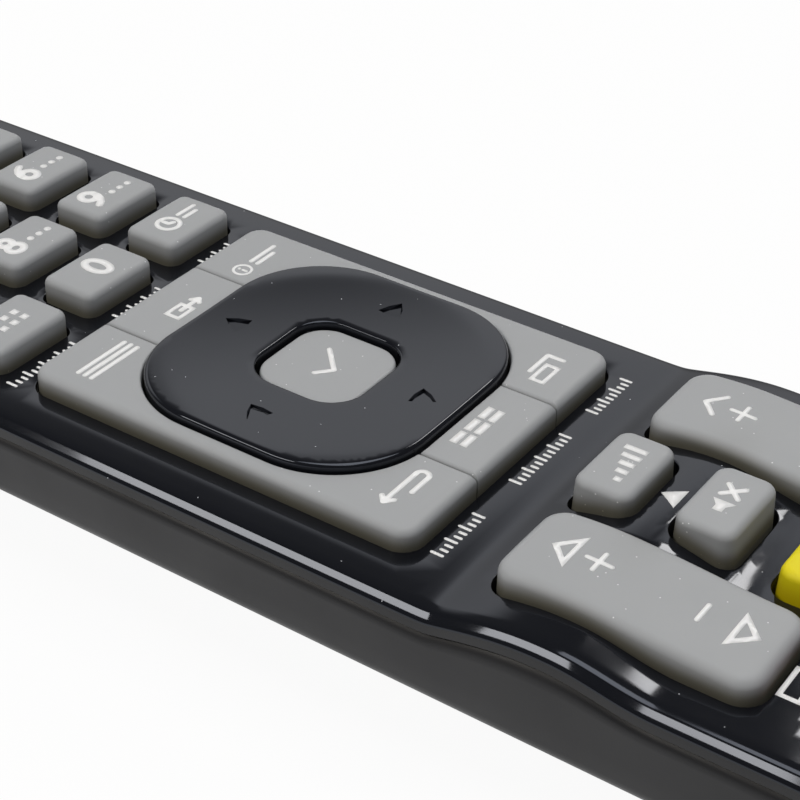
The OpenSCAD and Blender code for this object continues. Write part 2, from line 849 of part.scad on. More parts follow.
top_cover();
bottom_cover();
battery_door();
keypad_mat();
circuit_board();
controller_chip();
emitter();
emitter_window();
battery_left();
battery_right();
battery_springs();
battery_contacts();
case_screws();
ring_collar();
direction_ring();
confirm_key();
for (k = BLOCK_KEYS) block_key(k);
for (r = ROCKERS) rocker(r[1]);
for (k = KEYS) push_key(k);
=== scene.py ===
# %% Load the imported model
import math

import bmesh
import bpy
import numpy as np
from mathutils import Matrix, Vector
from mathutils.geometry import delaunay_2d_cdt


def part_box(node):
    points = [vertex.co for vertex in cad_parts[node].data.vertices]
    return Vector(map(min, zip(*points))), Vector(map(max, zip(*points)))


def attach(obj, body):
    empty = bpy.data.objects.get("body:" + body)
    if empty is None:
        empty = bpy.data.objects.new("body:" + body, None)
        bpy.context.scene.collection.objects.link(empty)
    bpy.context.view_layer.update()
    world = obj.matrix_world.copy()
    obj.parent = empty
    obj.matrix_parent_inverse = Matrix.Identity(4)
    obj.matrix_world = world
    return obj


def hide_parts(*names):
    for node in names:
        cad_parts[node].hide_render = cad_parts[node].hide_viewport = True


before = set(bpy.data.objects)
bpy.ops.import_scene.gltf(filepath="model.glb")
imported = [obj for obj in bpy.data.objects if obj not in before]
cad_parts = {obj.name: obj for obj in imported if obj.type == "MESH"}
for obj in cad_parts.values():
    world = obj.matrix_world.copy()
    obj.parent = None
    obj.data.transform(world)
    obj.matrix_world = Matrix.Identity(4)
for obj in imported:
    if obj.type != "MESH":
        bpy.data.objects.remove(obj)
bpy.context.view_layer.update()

MM = 0.001
scene = bpy.context.scene

# %% [markdown]
# # A universal remote control
#
# The remote lies on its belly with the keys up. X runs across it, +Y points to the end that
# sends the signal, and Z is up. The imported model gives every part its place, and this lesson
# dresses the parts: a gloss cover with a low wave, silicone rubber keys, a gloss ring, and a
# satin lower shell. All sizes are written in millimetres and turned to metres when a mesh is made.

# %% Sizes that several pieces share
PANEL = 19.8                  # height of the flat panel
RING_Y = 4.0                  # centre of the direction ring along the body
BODY = (51.0, 217.0, 12.0)    # width, length and corner radius of the body's outline
CEILING = 18.0                # underside of the cover
PARTING = 17.2                # upper edge of the lower shell
EDGE_DROP = 2.3               # the cover's side ends this far under the panel
WALL = 1.8                    # wall of both mouldings
FLANGE = (0.9, 17.05, 17.85)  # reach, bottom and top of a key's stop flange
STEM = (1.6, 15.6)            # radius and lowest point of a key's contact stem
KEY = (10.8, 7.4, 1.2)        # width, length and corner radius of a field key
MIDDLE = (11.0, 6.8, 1.8)     # the same of a key between the rockers
WAVE_HIGH = 2.0               # climb of the cover's wave at the body's sides
WAVE_START = 29.5             # where the climb starts, below the ring's centre
WAVE_CLIMB = 12.0             # length of the climb
CREST = WAVE_START + WAVE_CLIMB
FALLS = ((0.65, 42.0, 11.0), (0.35, 64.0, 30.0))   # share, start and length of the wave's two falls
SWELL = (24.0, 0.4)           # half width and share of the wave's crown across the body


def climb(d):
    """Share of the wave's height at a distance below the ring's centre, up to the crest: a quarter sine. Its
    start is eased over about a millimetre, because a mould has no knife edge."""
    past = d - WAVE_START
    eased = (past + np.sqrt(past ** 2 + 0.6)) / 2
    return np.sin(np.pi / 2 * np.clip(eased / WAVE_CLIMB, 0, 1))


def slope(d, start, length):
    """Half a cosine from 0 to 1 over a length, level before and after it."""
    return (1 - np.cos(np.pi * np.clip((d - start) / length, 0, 1))) / 2


def wave(x, y):
    """Height of the cover's low wave over the panel: a climb of 2 mm along y, a short fall by two thirds of
    that and a long one by the rest, and two fifths more in the middle, by a parabola across x that is zero
    at the rim."""
    d = RING_Y - np.asarray(y, float)
    left = 1.0
    for share, start, length in FALLS:
        left = left - share * slope(d, start, length)
    swell = np.maximum(1 - (np.asarray(x, float) / SWELL[0]) ** 2, 0)
    return WAVE_HIGH * climb(d) * left * (1 + SWELL[1] * swell)


at_side, at_middle = (float(wave(x, RING_Y - CREST)) for x in (BODY[0] / 2, 0.0))
print(f"wave crest {at_side:.2f} mm at the sides, {at_middle:.2f} mm in the middle")

# %% [markdown]
# ## Camera
#
# The photograph was taken from the near left, about 21 cm away, with a long lens. A camera in
# Blender looks along its own -Z axis with +Y up, so its matrix has the picture's right, up and
# backward directions as columns.

# %% Camera
right = np.array([0.56904, -0.822179, 0.014687])
up = np.array([0.456437, 0.330662, 0.826032])
forward = np.array([0.684002, 0.463341, -0.563432])
lens = bpy.data.cameras.new("photo_camera")
lens.sensor_width = 36
lens.lens = 88.384
lens.clip_start = 0.01
camera = bpy.data.objects.new("photo_camera", lens)
turn = np.eye(4)
turn[:3, 0], turn[:3, 1], turn[:3, 2] = right, up, -forward
turn[:3, 3] = np.array([-138.7848, -99.2594, 135.382]) * MM
camera.matrix_world = Matrix(turn.tolist())
scene.collection.objects.link(camera)
scene.camera = camera
print("camera", np.round(turn[:3, 3], 4))

# %% [markdown]
# ## Outlines
#
# Nearly every piece here is an outline with a profile carried round it. The outline is a loop of
# points in plan, and each row of the profile says how far to move in along the outline's mitres
# and how high to be. Modelling by hand would inset and extrude the same loops. Formulas keep
# every key alike and every gap even.


# %% Outlines
def round_loop(w, l, r, x=0.0, y=0.0, corner=9, side=5):
    """Rectangle with round corners as a counter-clockwise loop: four arcs of corner + 1 points, with
    side points spread along each straight edge between them."""
    a = np.linspace(0, np.pi / 2, corner + 1)
    arcs = []
    for sx, sy, quarter in ((1, 1, 0), (-1, 1, 1), (-1, -1, 2), (1, -1, 3)):
        b = a + quarter * np.pi / 2
        arcs.append(np.stack([sx * (w / 2 - r) + r * np.cos(b), sy * (l / 2 - r) + r * np.sin(b)], -1))
    t = np.linspace(0, 1, side + 2)[1:-1, None]
    edges = [one[-1] + t * (two[0] - one[-1]) for one, two in zip(arcs, arcs[1:] + arcs[:1])]
    return np.concatenate([points for both in zip(arcs, edges) for points in both]) + (x, y)


def normals_of(loop):
    """Outward mitre at each point of a counter-clockwise loop: the sum of both edge normals over one
    plus their cosine, which moves both edges by the same distance."""
    e = np.roll(loop, -1, 0) - loop
    n = np.stack([e[:, 1], -e[:, 0]], -1) / np.maximum(np.linalg.norm(e, axis=1), 1e-9)[:, None]
    before = np.roll(n, 1, 0)
    return (n + before) / np.maximum(1 + (n * before).sum(1), 0.3)[:, None]


def round_distance(x, y, w, l, r):
    """Signed distance to a rectangle with round corners, negative inside."""
    qx, qy = np.abs(x) - w / 2 + r, np.abs(y) - l / 2 + r
    outside = np.hypot(np.maximum(qx, 0), np.maximum(qy, 0))
    return outside + np.minimum(np.maximum(qx, qy), 0) - r


def inside_loop(x, y, loop):
    """True where a point lies inside a loop: an odd count of edges crossed by a ray along X."""
    a, b = loop, np.roll(loop, -1, 0)
    dy = np.where(np.abs(b[:, 1] - a[:, 1]) < 1e-12, 1e-12, b[:, 1] - a[:, 1])
    over = (a[:, 1] > y[:, None]) != (b[:, 1] > y[:, None])
    cross = a[:, 0] + (y[:, None] - a[:, 1]) / dy * (b[:, 0] - a[:, 0])
    return (over & (x[:, None] < cross)).sum(1) % 2 == 1


def fillet(r, steps=6):
    """Rows (inset, drop) of a quarter round of radius r, from the side up on to the top."""
    a = np.linspace(0, np.pi / 2, steps + 1)
    return [(r - r * np.cos(b), r - r * np.sin(b)) for b in a]


print("key outline has", len(round_loop(*KEY)), "points")

# %% [markdown]
# ## Surfaces
#
# A profile carried round a loop gives rows of points, and neighbouring rows are joined by quads.
# Flat or gently curved tops with holes are filled by a Delaunay triangulation of the loops and
# then lifted by a height formula, so holes and surface always agree. Stems and pins are turned.


# %% Surfaces
def grid_quads(rows, around):
    """Quads between neighbouring rows of a grid of closed loops."""
    i, j = np.meshgrid(np.arange(rows - 1), np.arange(around), indexing="ij")
    k = (j + 1) % around
    quads = np.stack([i * around + j, i * around + k, (i + 1) * around + k, (i + 1) * around + j], -1)
    return quads.reshape(-1, 4)


def carry(loop, rows):
    """Rows (inset, height) carried round a loop, as an array of rows by points. A height may be a
    formula of x and y."""
    n = normals_of(loop)
    layers = []
    for inset, height in rows:
        p = loop - inset * n
        z = height(p[:, 0], p[:, 1]) if callable(height) else np.full(len(p), float(height))
        layers.append(np.column_stack([p, z]))
    return np.stack(layers)


def skin(layers):
    """Points and quads of a stack of loops. Loops that go round to the left and rise face outwards."""
    layers = np.asarray(layers)
    return layers.reshape(-1, 3), [grid_quads(len(layers), layers.shape[1])]


def lid(layer, upward=True):
    """One face over a level loop, facing up or down."""
    order = np.arange(len(layer))
    return layer, [(order if upward else order[::-1])[None]]


def crown(layer, top, centre, spine=False):
    """Loops that close a top: the last loop shrunk in steps towards its centre, or towards its long
    middle line, at the height top(x, y), so a curved top keeps its curve."""
    out = []
    for k in (0.85, 0.62, 0.36, 0.12, 0.0):
        p = centre + (layer[:, :2] - centre) * ((k, 0.97 + 0.03 * k) if spine else (k, k))
        out.append(np.column_stack([p, top(p[:, 0], p[:, 1])]))
    return np.stack(out)


def fill(loops, inner, keep):
    """Triangles over loops of plan points and loose inner points, kept where keep(x, y) is true at the
    triangle's middle. Gives plan points and triangles that face up."""
    start = np.cumsum([0] + [len(loop) for loop in loops])
    edges = np.concatenate([np.stack([np.arange(len(p)), np.roll(np.arange(len(p)), -1)], -1) + s
                            for p, s in zip(loops, start)])
    flat = np.concatenate(list(loops) + [inner]) if len(inner) else np.concatenate(loops)
    out = delaunay_2d_cdt(flat.tolist(), edges.tolist(), [], 0, 1e-6)
    points, faces = np.array([tuple(v) for v in out[0]]), np.array(out[2])
    middle = points[faces].mean(1)
    faces = faces[keep(middle[:, 0], middle[:, 1])]
    a, b, c = points[faces[:, 0]], points[faces[:, 1]], points[faces[:, 2]]
    sense = (b - a)[:, 0] * (c - a)[:, 1] - (b - a)[:, 1] * (c - a)[:, 0]
    faces[sense < 0] = faces[sense < 0][:, ::-1]
    return points, faces


def between(outside, inside):
    """Test for plan points that lie inside one loop and not inside another."""
    return lambda x, y: inside_loop(x, y, outside) & ~inside_loop(x, y, inside)


def lattice(xs, ys):
    """Plan points at every crossing of some x and y values."""
    x, y = np.meshgrid(xs, ys)
    return np.column_stack([x.ravel(), y.ravel()])


def lifted(flat, faces, height, upward=True):
    """Filled plan points at a height, one number or one for each point, facing up or down."""
    z = np.broadcast_to(np.asarray(height, float), len(flat))
    return np.column_stack([flat, z]), [faces if upward else faces[:, ::-1]]


def turned(place, rows, axis=2, caps=True, around=28):
    """Surface of revolution: rows (radius, distance along the axis) turned about X (0), Y (1) or Z (2)
    through a place. Both ends are closed by a face, or left to meet where the rows form a ring."""
    a = np.arange(around) * 2 * np.pi / around
    layers = np.stack([np.column_stack([r * np.cos(a), r * np.sin(a), np.full(around, h)]) for r, h in rows])
    points, faces = skin(np.roll(layers, axis + 1, axis=2) + place)
    if caps:
        faces += [np.arange(around)[::-1][None], (np.arange(around) + around * (len(rows) - 1))[None]]
    return points, faces


def block_part(low, high):
    """A block between two corners, all faces outwards."""
    low, high = np.array(low, float), np.array(high, float)
    corners = np.array([(0, 0, 0), (1, 0, 0), (1, 1, 0), (0, 1, 0),
                        (0, 0, 1), (1, 0, 1), (1, 1, 1), (0, 1, 1)])
    faces = np.array([(0, 3, 2, 1), (4, 5, 6, 7), (0, 1, 5, 4), (1, 2, 6, 5), (2, 3, 7, 6), (3, 0, 4, 7)])
    return low + corners * (high - low), [faces]


print("stem faces:", sum(len(f) for f in turned((0, 0, 0), [(1, 0), (1, 2)])[1]))

# %% [markdown]
# ### From surfaces to pieces
#
# A real key or cover is one moulding, so all of its surfaces become one mesh. Objects could be joined
# by hand for that. Here points that meet are merged, which also closes every seam.


# %% From surfaces to pieces
def make_piece(name, parts, materials, body, nodes=(), slot=None, sharp=35):
    """One object from several (points in mm, face arrays, material number) parts. Points that meet are
    merged, shading is smooth except over edges sharper than the angle, and the piece rides on its body.
    Each point keeps its height over the cover in mm as an attribute, which the rubber's painted shade
    towards a key's foot reads."""
    start = np.cumsum([0] + [len(part[0]) for part in parts])
    faces, numbers = [], []
    for (_, arrays, *number), s in zip(parts, start):
        for array in arrays:
            faces += (array + s).tolist()
            numbers += [number[0] if number else 0] * len(array)
    mesh = bpy.data.meshes.new(name)
    mesh.from_pydata((np.concatenate([part[0] for part in parts]) * MM).tolist(), [], faces)
    mesh.polygons.foreach_set("material_index", np.array(numbers, np.int32))
    b = bmesh.new()
    b.from_mesh(mesh)
    bmesh.ops.remove_doubles(b, verts=b.verts, dist=2e-7)
    bmesh.ops.dissolve_degenerate(b, dist=1e-8, edges=b.edges)
    b.to_mesh(mesh)
    b.free()
    mesh.shade_smooth()
    mesh.set_sharp_from_angle(angle=math.radians(sharp))
    for material in materials:
        mesh.materials.append(material)
    place = np.empty(len(mesh.vertices) * 3)
    mesh.vertices.foreach_get("co", place)
    x, y, z = place.reshape(-1, 3).T / MM
    # The height over the cover drives the painted shade at a key's foot.
    mesh.attributes.new("over_cover", "FLOAT", "POINT").data.foreach_set("value", z - PANEL - wave(x, y))
    piece = bpy.data.objects.new(name, mesh)
    scene.collection.objects.link(piece)
    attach(piece, body)
    if nodes:
        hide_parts(*nodes)
    return piece


print("ready to make pieces")

# %% [markdown]
# ## Helpers for materials
#
# Every finish here is a Principled shader. Its constants are set on the shader itself, and only
# what changes over the surface comes from nodes: a fine grain as bump, specks of dust as a
# lighter colour, or a slow change of roughness.


# %% Colours and nodes
def linear(code):
    """sRGB hex to linear RGBA: below 0.04045 a straight line, above it a power of 2.4."""
    s = np.array([int(code[i:i + 2], 16) for i in (1, 3, 5)]) / 255
    return (*np.where(s <= 0.04045, s / 12.92, ((s + 0.055) / 1.055) ** 2.4).tolist(), 1.0)


def add(tree, kind, inputs=None, **settings):
    """Adds one node: settings go to its properties or input sockets by name, and inputs give a socket, by
    name or number, the output that feeds it or its constant."""
    node = tree.nodes.new(kind)
    for key, value in settings.items():
        if key in node.inputs:
            node.inputs[key].default_value = value
        else:
            setattr(node, key, value)
    for key, value in (inputs or {}).items():
        if isinstance(value, bpy.types.NodeSocket):
            tree.links.new(value, node.inputs[key])
        else:
            node.inputs[key].default_value = value
    return node


def finish(name, colour, **sockets):
    """A new material with one Principled shader whose constant sockets are set. Gives the material, its
    tree and the shader."""
    m = bpy.data.materials.new(name)
    m.use_nodes = True
    tree = m.node_tree
    shader = tree.nodes["Principled BSDF"]
    shader.inputs["Base Color"].default_value = linear(colour)
    for key, value in sockets.items():
        shader.inputs[key.replace("_", " ")].default_value = value
    m.diffuse_color = linear(colour)
    return m, tree, shader


def grain(tree, shader, size_mm, height_mm):
    """Fine bump from noise whose lumps are about size_mm across and height_mm high. Gives its coordinates."""
    place = add(tree, "ShaderNodeTexCoord")
    noise = add(tree, "ShaderNodeTexNoise", {"Vector": place.outputs["Object"]},
                Scale=1 / (size_mm * MM), Detail=2.0)
    bump = add(tree, "ShaderNodeBump", {"Height": noise.outputs["Fac"]},
               Strength=1.0, Distance=height_mm * MM)
    tree.links.new(bump.outputs["Normal"], shader.inputs["Normal"])
    return place


def uneven(tree, shader, place, size_mm, low, high):
    """Roughness that drifts between two values over patches of about size_mm, as handling leaves it."""
    noise = add(tree, "ShaderNodeTexNoise", {"Vector": place.outputs["Object"]},
                Scale=1 / (size_mm * MM), Detail=4.0)
    drift = add(tree, "ShaderNodeMapRange", {"Value": noise.outputs["Fac"], "From Min": 0.3, "From Max": 0.7,
                                             "To Min": low, "To Max": high})
    tree.links.new(drift.outputs["Result"], shader.inputs["Roughness"])


def specks(tree, shader, place, colour, dust, cell_mm, speck_mm, share):
    """Dust: in a share of the cells of a Voronoi pattern cell_mm wide, a speck of speck_mm lies in the
    middle and takes the dust's colour."""
    cells = add(tree, "ShaderNodeTexVoronoi", {"Vector": place.outputs["Object"]}, Scale=1 / (cell_mm * MM))
    near = add(tree, "ShaderNodeMath", {0: cells.outputs["Distance"], 1: speck_mm / cell_mm / 2},
               operation="LESS_THAN")
    pick = add(tree, "ShaderNodeSeparateColor", {0: cells.outputs["Color"]})
    some = add(tree, "ShaderNodeMath", {0: pick.outputs["Red"], 1: share}, operation="LESS_THAN")
    both = add(tree, "ShaderNodeMath", {0: near.outputs[0], 1: some.outputs[0]}, operation="MULTIPLY")
    mix = add(tree, "ShaderNodeMix", {"Factor": both.outputs[0], "A": linear(colour), "B": linear(dust)},
              data_type="RGBA")
    tree.links.new(mix.outputs["Result"], shader.inputs["Base Color"])


KEY_GREY = "#a3a5a7"
print("grey key colour in linear light:", np.round(linear(KEY_GREY)[:3], 3))

# %% [markdown]
# ## Finishes
#
# The cover and the ring are ABS moulded against a polished tool: nearly black, smooth, with a
# sharp reflection and a little dust. The lower shell is the same plastic from a spark-eroded tool,
# which leaves a fine satin grain. The keys are silicone rubber with a soft bloom.

# %% Plastics and rubbers
# Gloss ABS: a dark mirror, dusted here and there, a little dulled where it has been wiped.
GLOSS_BLACK = "#0c0d11"
GLOSS, tree, shader = finish("Gloss moulded ABS, black", GLOSS_BLACK, Roughness=0.07, IOR=1.5,
                             Specular_Tint=(0.8, 0.86, 1.0, 1.0))
place = add(tree, "ShaderNodeTexCoord")
specks(tree, shader, place, GLOSS_BLACK, "#b9bbc0", 1.7, 0.14, 0.4)
uneven(tree, shader, place, 9.0, 0.05, 0.1)

# Satin ABS: spark-eroded grain of a fifth of a millimetre blurs the light to a soft sheen.
SATIN, tree, shader = finish("Spark-eroded satin ABS, black", "#151518", Roughness=0.45, IOR=1.5,
                             Specular_IOR_Level=0.43)
place = grain(tree, shader, 0.2, 0.006)
uneven(tree, shader, place, 12.0, 0.4, 0.5)
FOOT_SHADE_TINT = (1.1, 1.02, 0.78)   # brown tint of the painted shade at a key's foot, as the share of each colour it keeps
UNSHADED_FROM = 1.9            # height over the cover in mm above which a key has no painted shade


def rubber(name, colour, dust, foot=0.35):
    """Silicone rubber: a wide dim sheen, fine moulded grain, lint, which clings to it, and painted shade,
    tinted brown, that darkens a key towards its foot, down to a share of its colour."""
    m, tree, shader = finish(name, colour, Roughness=0.5, IOR=1.41)
    place = grain(tree, shader, 0.25, 0.004)
    specks(tree, shader, place, colour, dust, 1.1, 0.16, 0.4)
    uneven(tree, shader, place, 4.0, 0.45, 0.56)
    # Painted shade: the colour is darkened and tinted brown towards a key's foot, by its height over the
    # cover.
    height = add(tree, "ShaderNodeAttribute", attribute_name="over_cover")
    unshaded = add(tree, "ShaderNodeMapRange", {"Value": height.outputs["Fac"], "From Max": UNSHADED_FROM},
                interpolation_type="SMOOTHSTEP")
    foot_shade = (*(foot * c for c in FOOT_SHADE_TINT), 1)
    painted_shade = add(tree, "ShaderNodeMix", {"Factor": unshaded.outputs["Result"], "A": foot_shade, "B": (1, 1, 1, 1)},
                data_type="RGBA")
    dusty = shader.inputs["Base Color"].links[0].from_socket
    shade = add(tree, "ShaderNodeMix", {"Factor": 1.0, "A": dusty, "B": painted_shade.outputs["Result"]},
                data_type="RGBA", blend_type="MULTIPLY")
    tree.links.new(shade.outputs["Result"], shader.inputs["Base Color"])
    return m


GREY = rubber("Silicone rubber, grey", KEY_GREY, "#dfe0e1")
# The coloured keys keep three quarters of their colour in the painted shade at their foot.
YELLOW = rubber("Silicone rubber, yellow", "#e6d60f", "#f1e98a", 0.75)
RED = rubber("Silicone rubber, red", "#b3201f", "#d98a86", 0.75)
GREEN = rubber("Silicone rubber, green", "#1f8a43", "#86c49a", 0.75)
BLUE = rubber("Silicone rubber, blue", "#1f4fa8", "#8aa6d6", 0.75)
DARK = rubber("Silicone rubber, dark grey", "#3b3b3e", "#77777a")

# White silk-screen ink: flat, slightly rough, with the fine pits that the mesh leaves.
INK, tree, shader = finish("Silk-screen ink, white", "#f1f1f1", Roughness=0.5, IOR=1.48)
grain(tree, shader, 0.12, 0.002)
print("finishes:", len(bpy.data.materials))

# %% [markdown]
# ## Plain keys
#
# A key is a rounded rectangle that stands through the cover. It is drawn in slightly to the top,
# as moulded rubber is, its edge is rounded by most of a millimetre, and its top is crowned by a tenth.
# The stop flange under the cover is part of the same profile, and a turned stem reaches down to
# the contact.

# %% Plain keys
NUMBER_KEYS = [f"key_{i}" for i in range(10)]
FIELD_NAMES = "apps timer list page return power input rewind play forward record stop pause"
FIELD_KEYS = [f"{name}_key" for name in FIELD_NAMES.split()]
COLOUR_KEYS = {"red_key": (RED, "red_rubber"), "green_key": (GREEN, "green_rubber"),
               "blue_key": (BLUE, "blue_rubber")}
MIDDLE_KEYS = {"sound_key": (GREY, "grey_rubber"), "mute_key": (GREY, "grey_rubber"),
               "yellow_key": (YELLOW, "yellow_rubber")}
CROWN = 0.1   # how far a key's top falls from its middle towards its corners
tops, places = {}, {}   # each key's top formula and middle, which the prints need


def drafted(top, low, edge, draft, shares, steps=6):
    """Rows of a side that leans in by its draft, at some shares of the way from a height to the top's edge,
    then of the round edge."""
    side = [(draft * t, lambda x, y, t=t: low + (top(x, y) - edge - low) * t) for t in shares]
    return side + [(draft + i, lambda x, y, d=d: top(x, y) - d) for i, d in fillet(edge, steps)]


def key_rows(top, edge, draft):
    """Profile of a key from its flange to its top edge: flange, shoulder, drafted side, then a round."""
    reach, low, high = FLANGE
    return [(-reach, low), (-reach, high)] + drafted(top, high, edge, draft, (0.0, 0.35, 0.7))


def stem(x, y, low=STEM[1], high=FLANGE[1] + 0.4):
    """A contact stem with a rounded foot."""
    r = STEM[0]
    return turned((x, y, 0), [(r - 0.25, low), (r - 0.07, low + 0.07), (r, low + 0.25), (r, high)])


def key_parts(loop, top, centre, edge, draft):
    """Cap, flange and stem of a key whose outline is loop and whose top is top(x, y)."""
    layers = carry(loop, key_rows(top, edge, draft))
    cap = skin(np.concatenate([layers, crown(layers[-1], top, centre)]))
    return [cap, lid(layers[0], False), stem(*centre)]


def plain_key(node, material, slot, corner=KEY[2], edge=0.85, draft=0.02):
    """A crowned rubber key in the place of its node."""
    low, high = (np.array(c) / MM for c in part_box(node))
    x, y = (low[:2] + high[:2]) / 2
    w, l = high[:2] - low[:2] - 2 * FLANGE[0]

    def top(px, py):
        """A hair under the node's top, and lower by the square of the distance from the middle."""
        return high[2] - 0.04 - CROWN * (((px - x) / (w / 2)) ** 2 + ((py - y) / (l / 2)) ** 2) / 2

    tops[node], places[node] = top, (x, y)
    parts = key_parts(round_loop(w, l, corner, x, y), top, np.array([x, y]), edge, draft)
    make_piece("rubber_" + node, parts, [material], node, [node], slot)


for node in NUMBER_KEYS + FIELD_KEYS:
    plain_key(node, GREY, "grey_rubber")
for node, (material, slot) in COLOUR_KEYS.items():
    plain_key(node, material, slot)
for node, (material, slot) in MIDDLE_KEYS.items():
    plain_key(node, material, slot, corner=MIDDLE[2], draft=0.25)
print("plain keys:", len(tops))

# %% [markdown]
# ## Direction ring
#
# The ring is a gloss cap: a rounded square whose top is hollowed like a shallow saucer, with a
# rounded rim and a square hole. Four triangles are sunk into it. The hole, the rim and the
# triangles are loops of one filled surface, so the hollow's formula lifts them all. Under the top
# is a pocket with four stems, as the real moulding has.

# %% Direction ring
RING = (34.5, 33.2, 11.2)   # width, length and corner radius of the ring
HOLE = (13.4, 13.0, 4.0)    # the same of its hole
RING_TOP = PANEL + 3.0
EDGE = 0.5                  # radius of the rim's round
SAUCER = 0.5                # depth of the hollow
SUNK = 0.3                  # depth of the arrows
CHAMFER = 0.15
POCKET, SLEEVE, RING_LOW = 20.3, 18.4, 17.35   # heights of the pocket's roof and of both lower edges


def ring_top(x, y):
    """Height of the ring's top: a saucer 0.5 mm deep that follows the square of the distance from the
    centre and eases out to level where it meets the rim's height."""
    hollow = 1 - (np.hypot(x, y - RING_Y) / (RING[0] / 2)) ** 2
    return RING_TOP - SAUCER * (hollow + np.sqrt(hollow ** 2 + 0.01)) / 2


def triangle(angle, inset, half=1.75, near=11.0, far=14.1):
    """Arrowhead pointing out at an angle: base of twice half at near, tip at far, with its corners eased
    and the whole outline moved in by inset."""
    corners = np.array([(near, -half), (far, 0.0), (near, half)])
    t = np.array([0.06, 0.5, 0.94])[:, None]
    loop = np.concatenate([a + (b - a) * t for a, b in zip(corners, np.roll(corners, -1, 0))])
    loop = loop - inset * normals_of(loop)
    c, s = np.cos(angle), np.sin(angle)
    return loop @ np.array([[c, s], [-s, c]]) + (0, RING_Y)


outer = round_loop(*RING, 0, RING_Y, corner=24, side=10)
inner = round_loop(*HOLE, 0, RING_Y, corner=12, side=8)
ring_wall = WALL - 0.4
wall = carry(outer, [(ring_wall, POCKET), (ring_wall, RING_LOW + CHAMFER), (ring_wall - CHAMFER, RING_LOW),
                     (CHAMFER, RING_LOW), (0, RING_LOW + CHAMFER), (0, lambda x, y: ring_top(x, y) - EDGE)]
             + [(i, lambda x, y, d=d: ring_top(x, y) - d) for i, d in fillet(EDGE, 8)[1:]])
mouth = carry(inner, [(-i, lambda x, y, d=d: ring_top(x, y) - d) for i, d in fillet(0.3, 5)[::-1]]
              + [(0, SLEEVE), (-1, SLEEVE), (-1, POCKET)])
turns = np.arange(4) * np.pi / 2
arrows = [triangle(a, 0.0) for a in turns]
floors = [triangle(a, 0.22) for a in turns]
loose = lattice(np.linspace(-17, 17, 62), np.linspace(-16.4, 16.4, 59) + RING_Y)
clear = round_distance(loose[:, 0], loose[:, 1] - RING_Y, *RING) < -EDGE - 0.25
clear &= round_distance(loose[:, 0], loose[:, 1] - RING_Y, *HOLE) > 0.55
for a in turns:
    clear &= ~inside_loop(*loose.T, triangle(a, -0.25))
edge_loop, mouth_loop = wall[-1][:, :2], mouth[0][:, :2]
flat, faces = fill([edge_loop, mouth_loop] + arrows + floors, loose[clear], between(edge_loop, mouth_loop))
height = ring_top(*flat.T)
for floor_loop in floors:
    sunk = inside_loop(*flat.T, floor_loop + 0.02 * normals_of(floor_loop))
    height = np.where(sunk, height - SUNK, height)
pocket_loop, sleeve_loop = wall[0][:, :2], mouth[-1][:, :2]
roof, roof_faces = fill([pocket_loop, sleeve_loop], [], between(pocket_loop, sleeve_loop))
ring_parts = [skin(wall), skin(mouth), lifted(flat, faces, height), lifted(roof, roof_faces, POCKET, False)]
ring_parts += [stem(12.2 * np.cos(a), RING_Y + 12.2 * np.sin(a), 15.13, POCKET + 0.3) for a in turns]
ring = make_piece("gloss_direction_ring", ring_parts, [GLOSS], "direction_ring", ["direction_ring"],
                  "gloss_black", 25)
print("ring faces:", len(ring.data.polygons))

# %% [markdown]
# ## Confirm key
#
# A softer square in the middle of the ring, made like the plain keys with a larger corner.

# %% Confirm key
CONFIRM = (12.6, 12.2, 3.6)   # width, length and corner radius
confirm_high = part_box("confirm_key")[1][2] / MM


def confirm_top(x, y):
    """Top of the confirm key, crowned by a tenth of a millimetre."""
    w, l, _ = CONFIRM
    return confirm_high - CROWN * ((x / (w / 2)) ** 2 + ((y - RING_Y) / (l / 2)) ** 2) / 2


tops["confirm_key"], places["confirm_key"] = confirm_top, (0, RING_Y)
make_piece("rubber_confirm_key", key_parts(round_loop(*CONFIRM, 0, RING_Y, corner=12), confirm_top,
                                           np.array([0, RING_Y]), 0.35, 0.03),
           [GREY], "confirm_key", ["confirm_key"], "grey_rubber")
print("confirm key top", round(confirm_high, 2), "mm")

# %% [markdown]
# ## Key block
#
# Six keys share one block round the ring. On the real rubber they are parted by shallow grooves,
# so each key's outline runs along the groove, the block's edge and the ring's cut-out, and the
# groove is the meeting of two rounded edges. Beside the ring, where the rubber runs on, the
# parting is a hairline without any rounding.

# %% Key block
BLOCK = (38.6, 48.2, 2.2)   # width, length and corner radius
BLOCK_SHIFT = 0.5           # how far its middle lies above the ring's
BLOCK_TOP = PANEL + 2.2
GROOVE, GROOVE_HALF = 7.5, 0.1        # place of the grooves to both sides, and half their width
SPLIT_HALF, RING_GAP = 0.004, 0.3     # half the hairline, and the gap round the ring
BORDER_ROUND, RING_ROUND, GROOVE_ROUND = 0.95, 0.25, 0.4   # radius of the top's edges
cut = round_loop(RING[0] + 2 * RING_GAP, RING[1] + 2 * RING_GAP, RING[2] + RING_GAP, corner=40, side=12)
BLOCK_KEYS = {"menu_key": (-1, 1), "source_key": (0, 1), "info_key": (1, 1),
              "exit_key": (-1, -1), "guide_key": (0, -1), "view_key": (1, -1)}


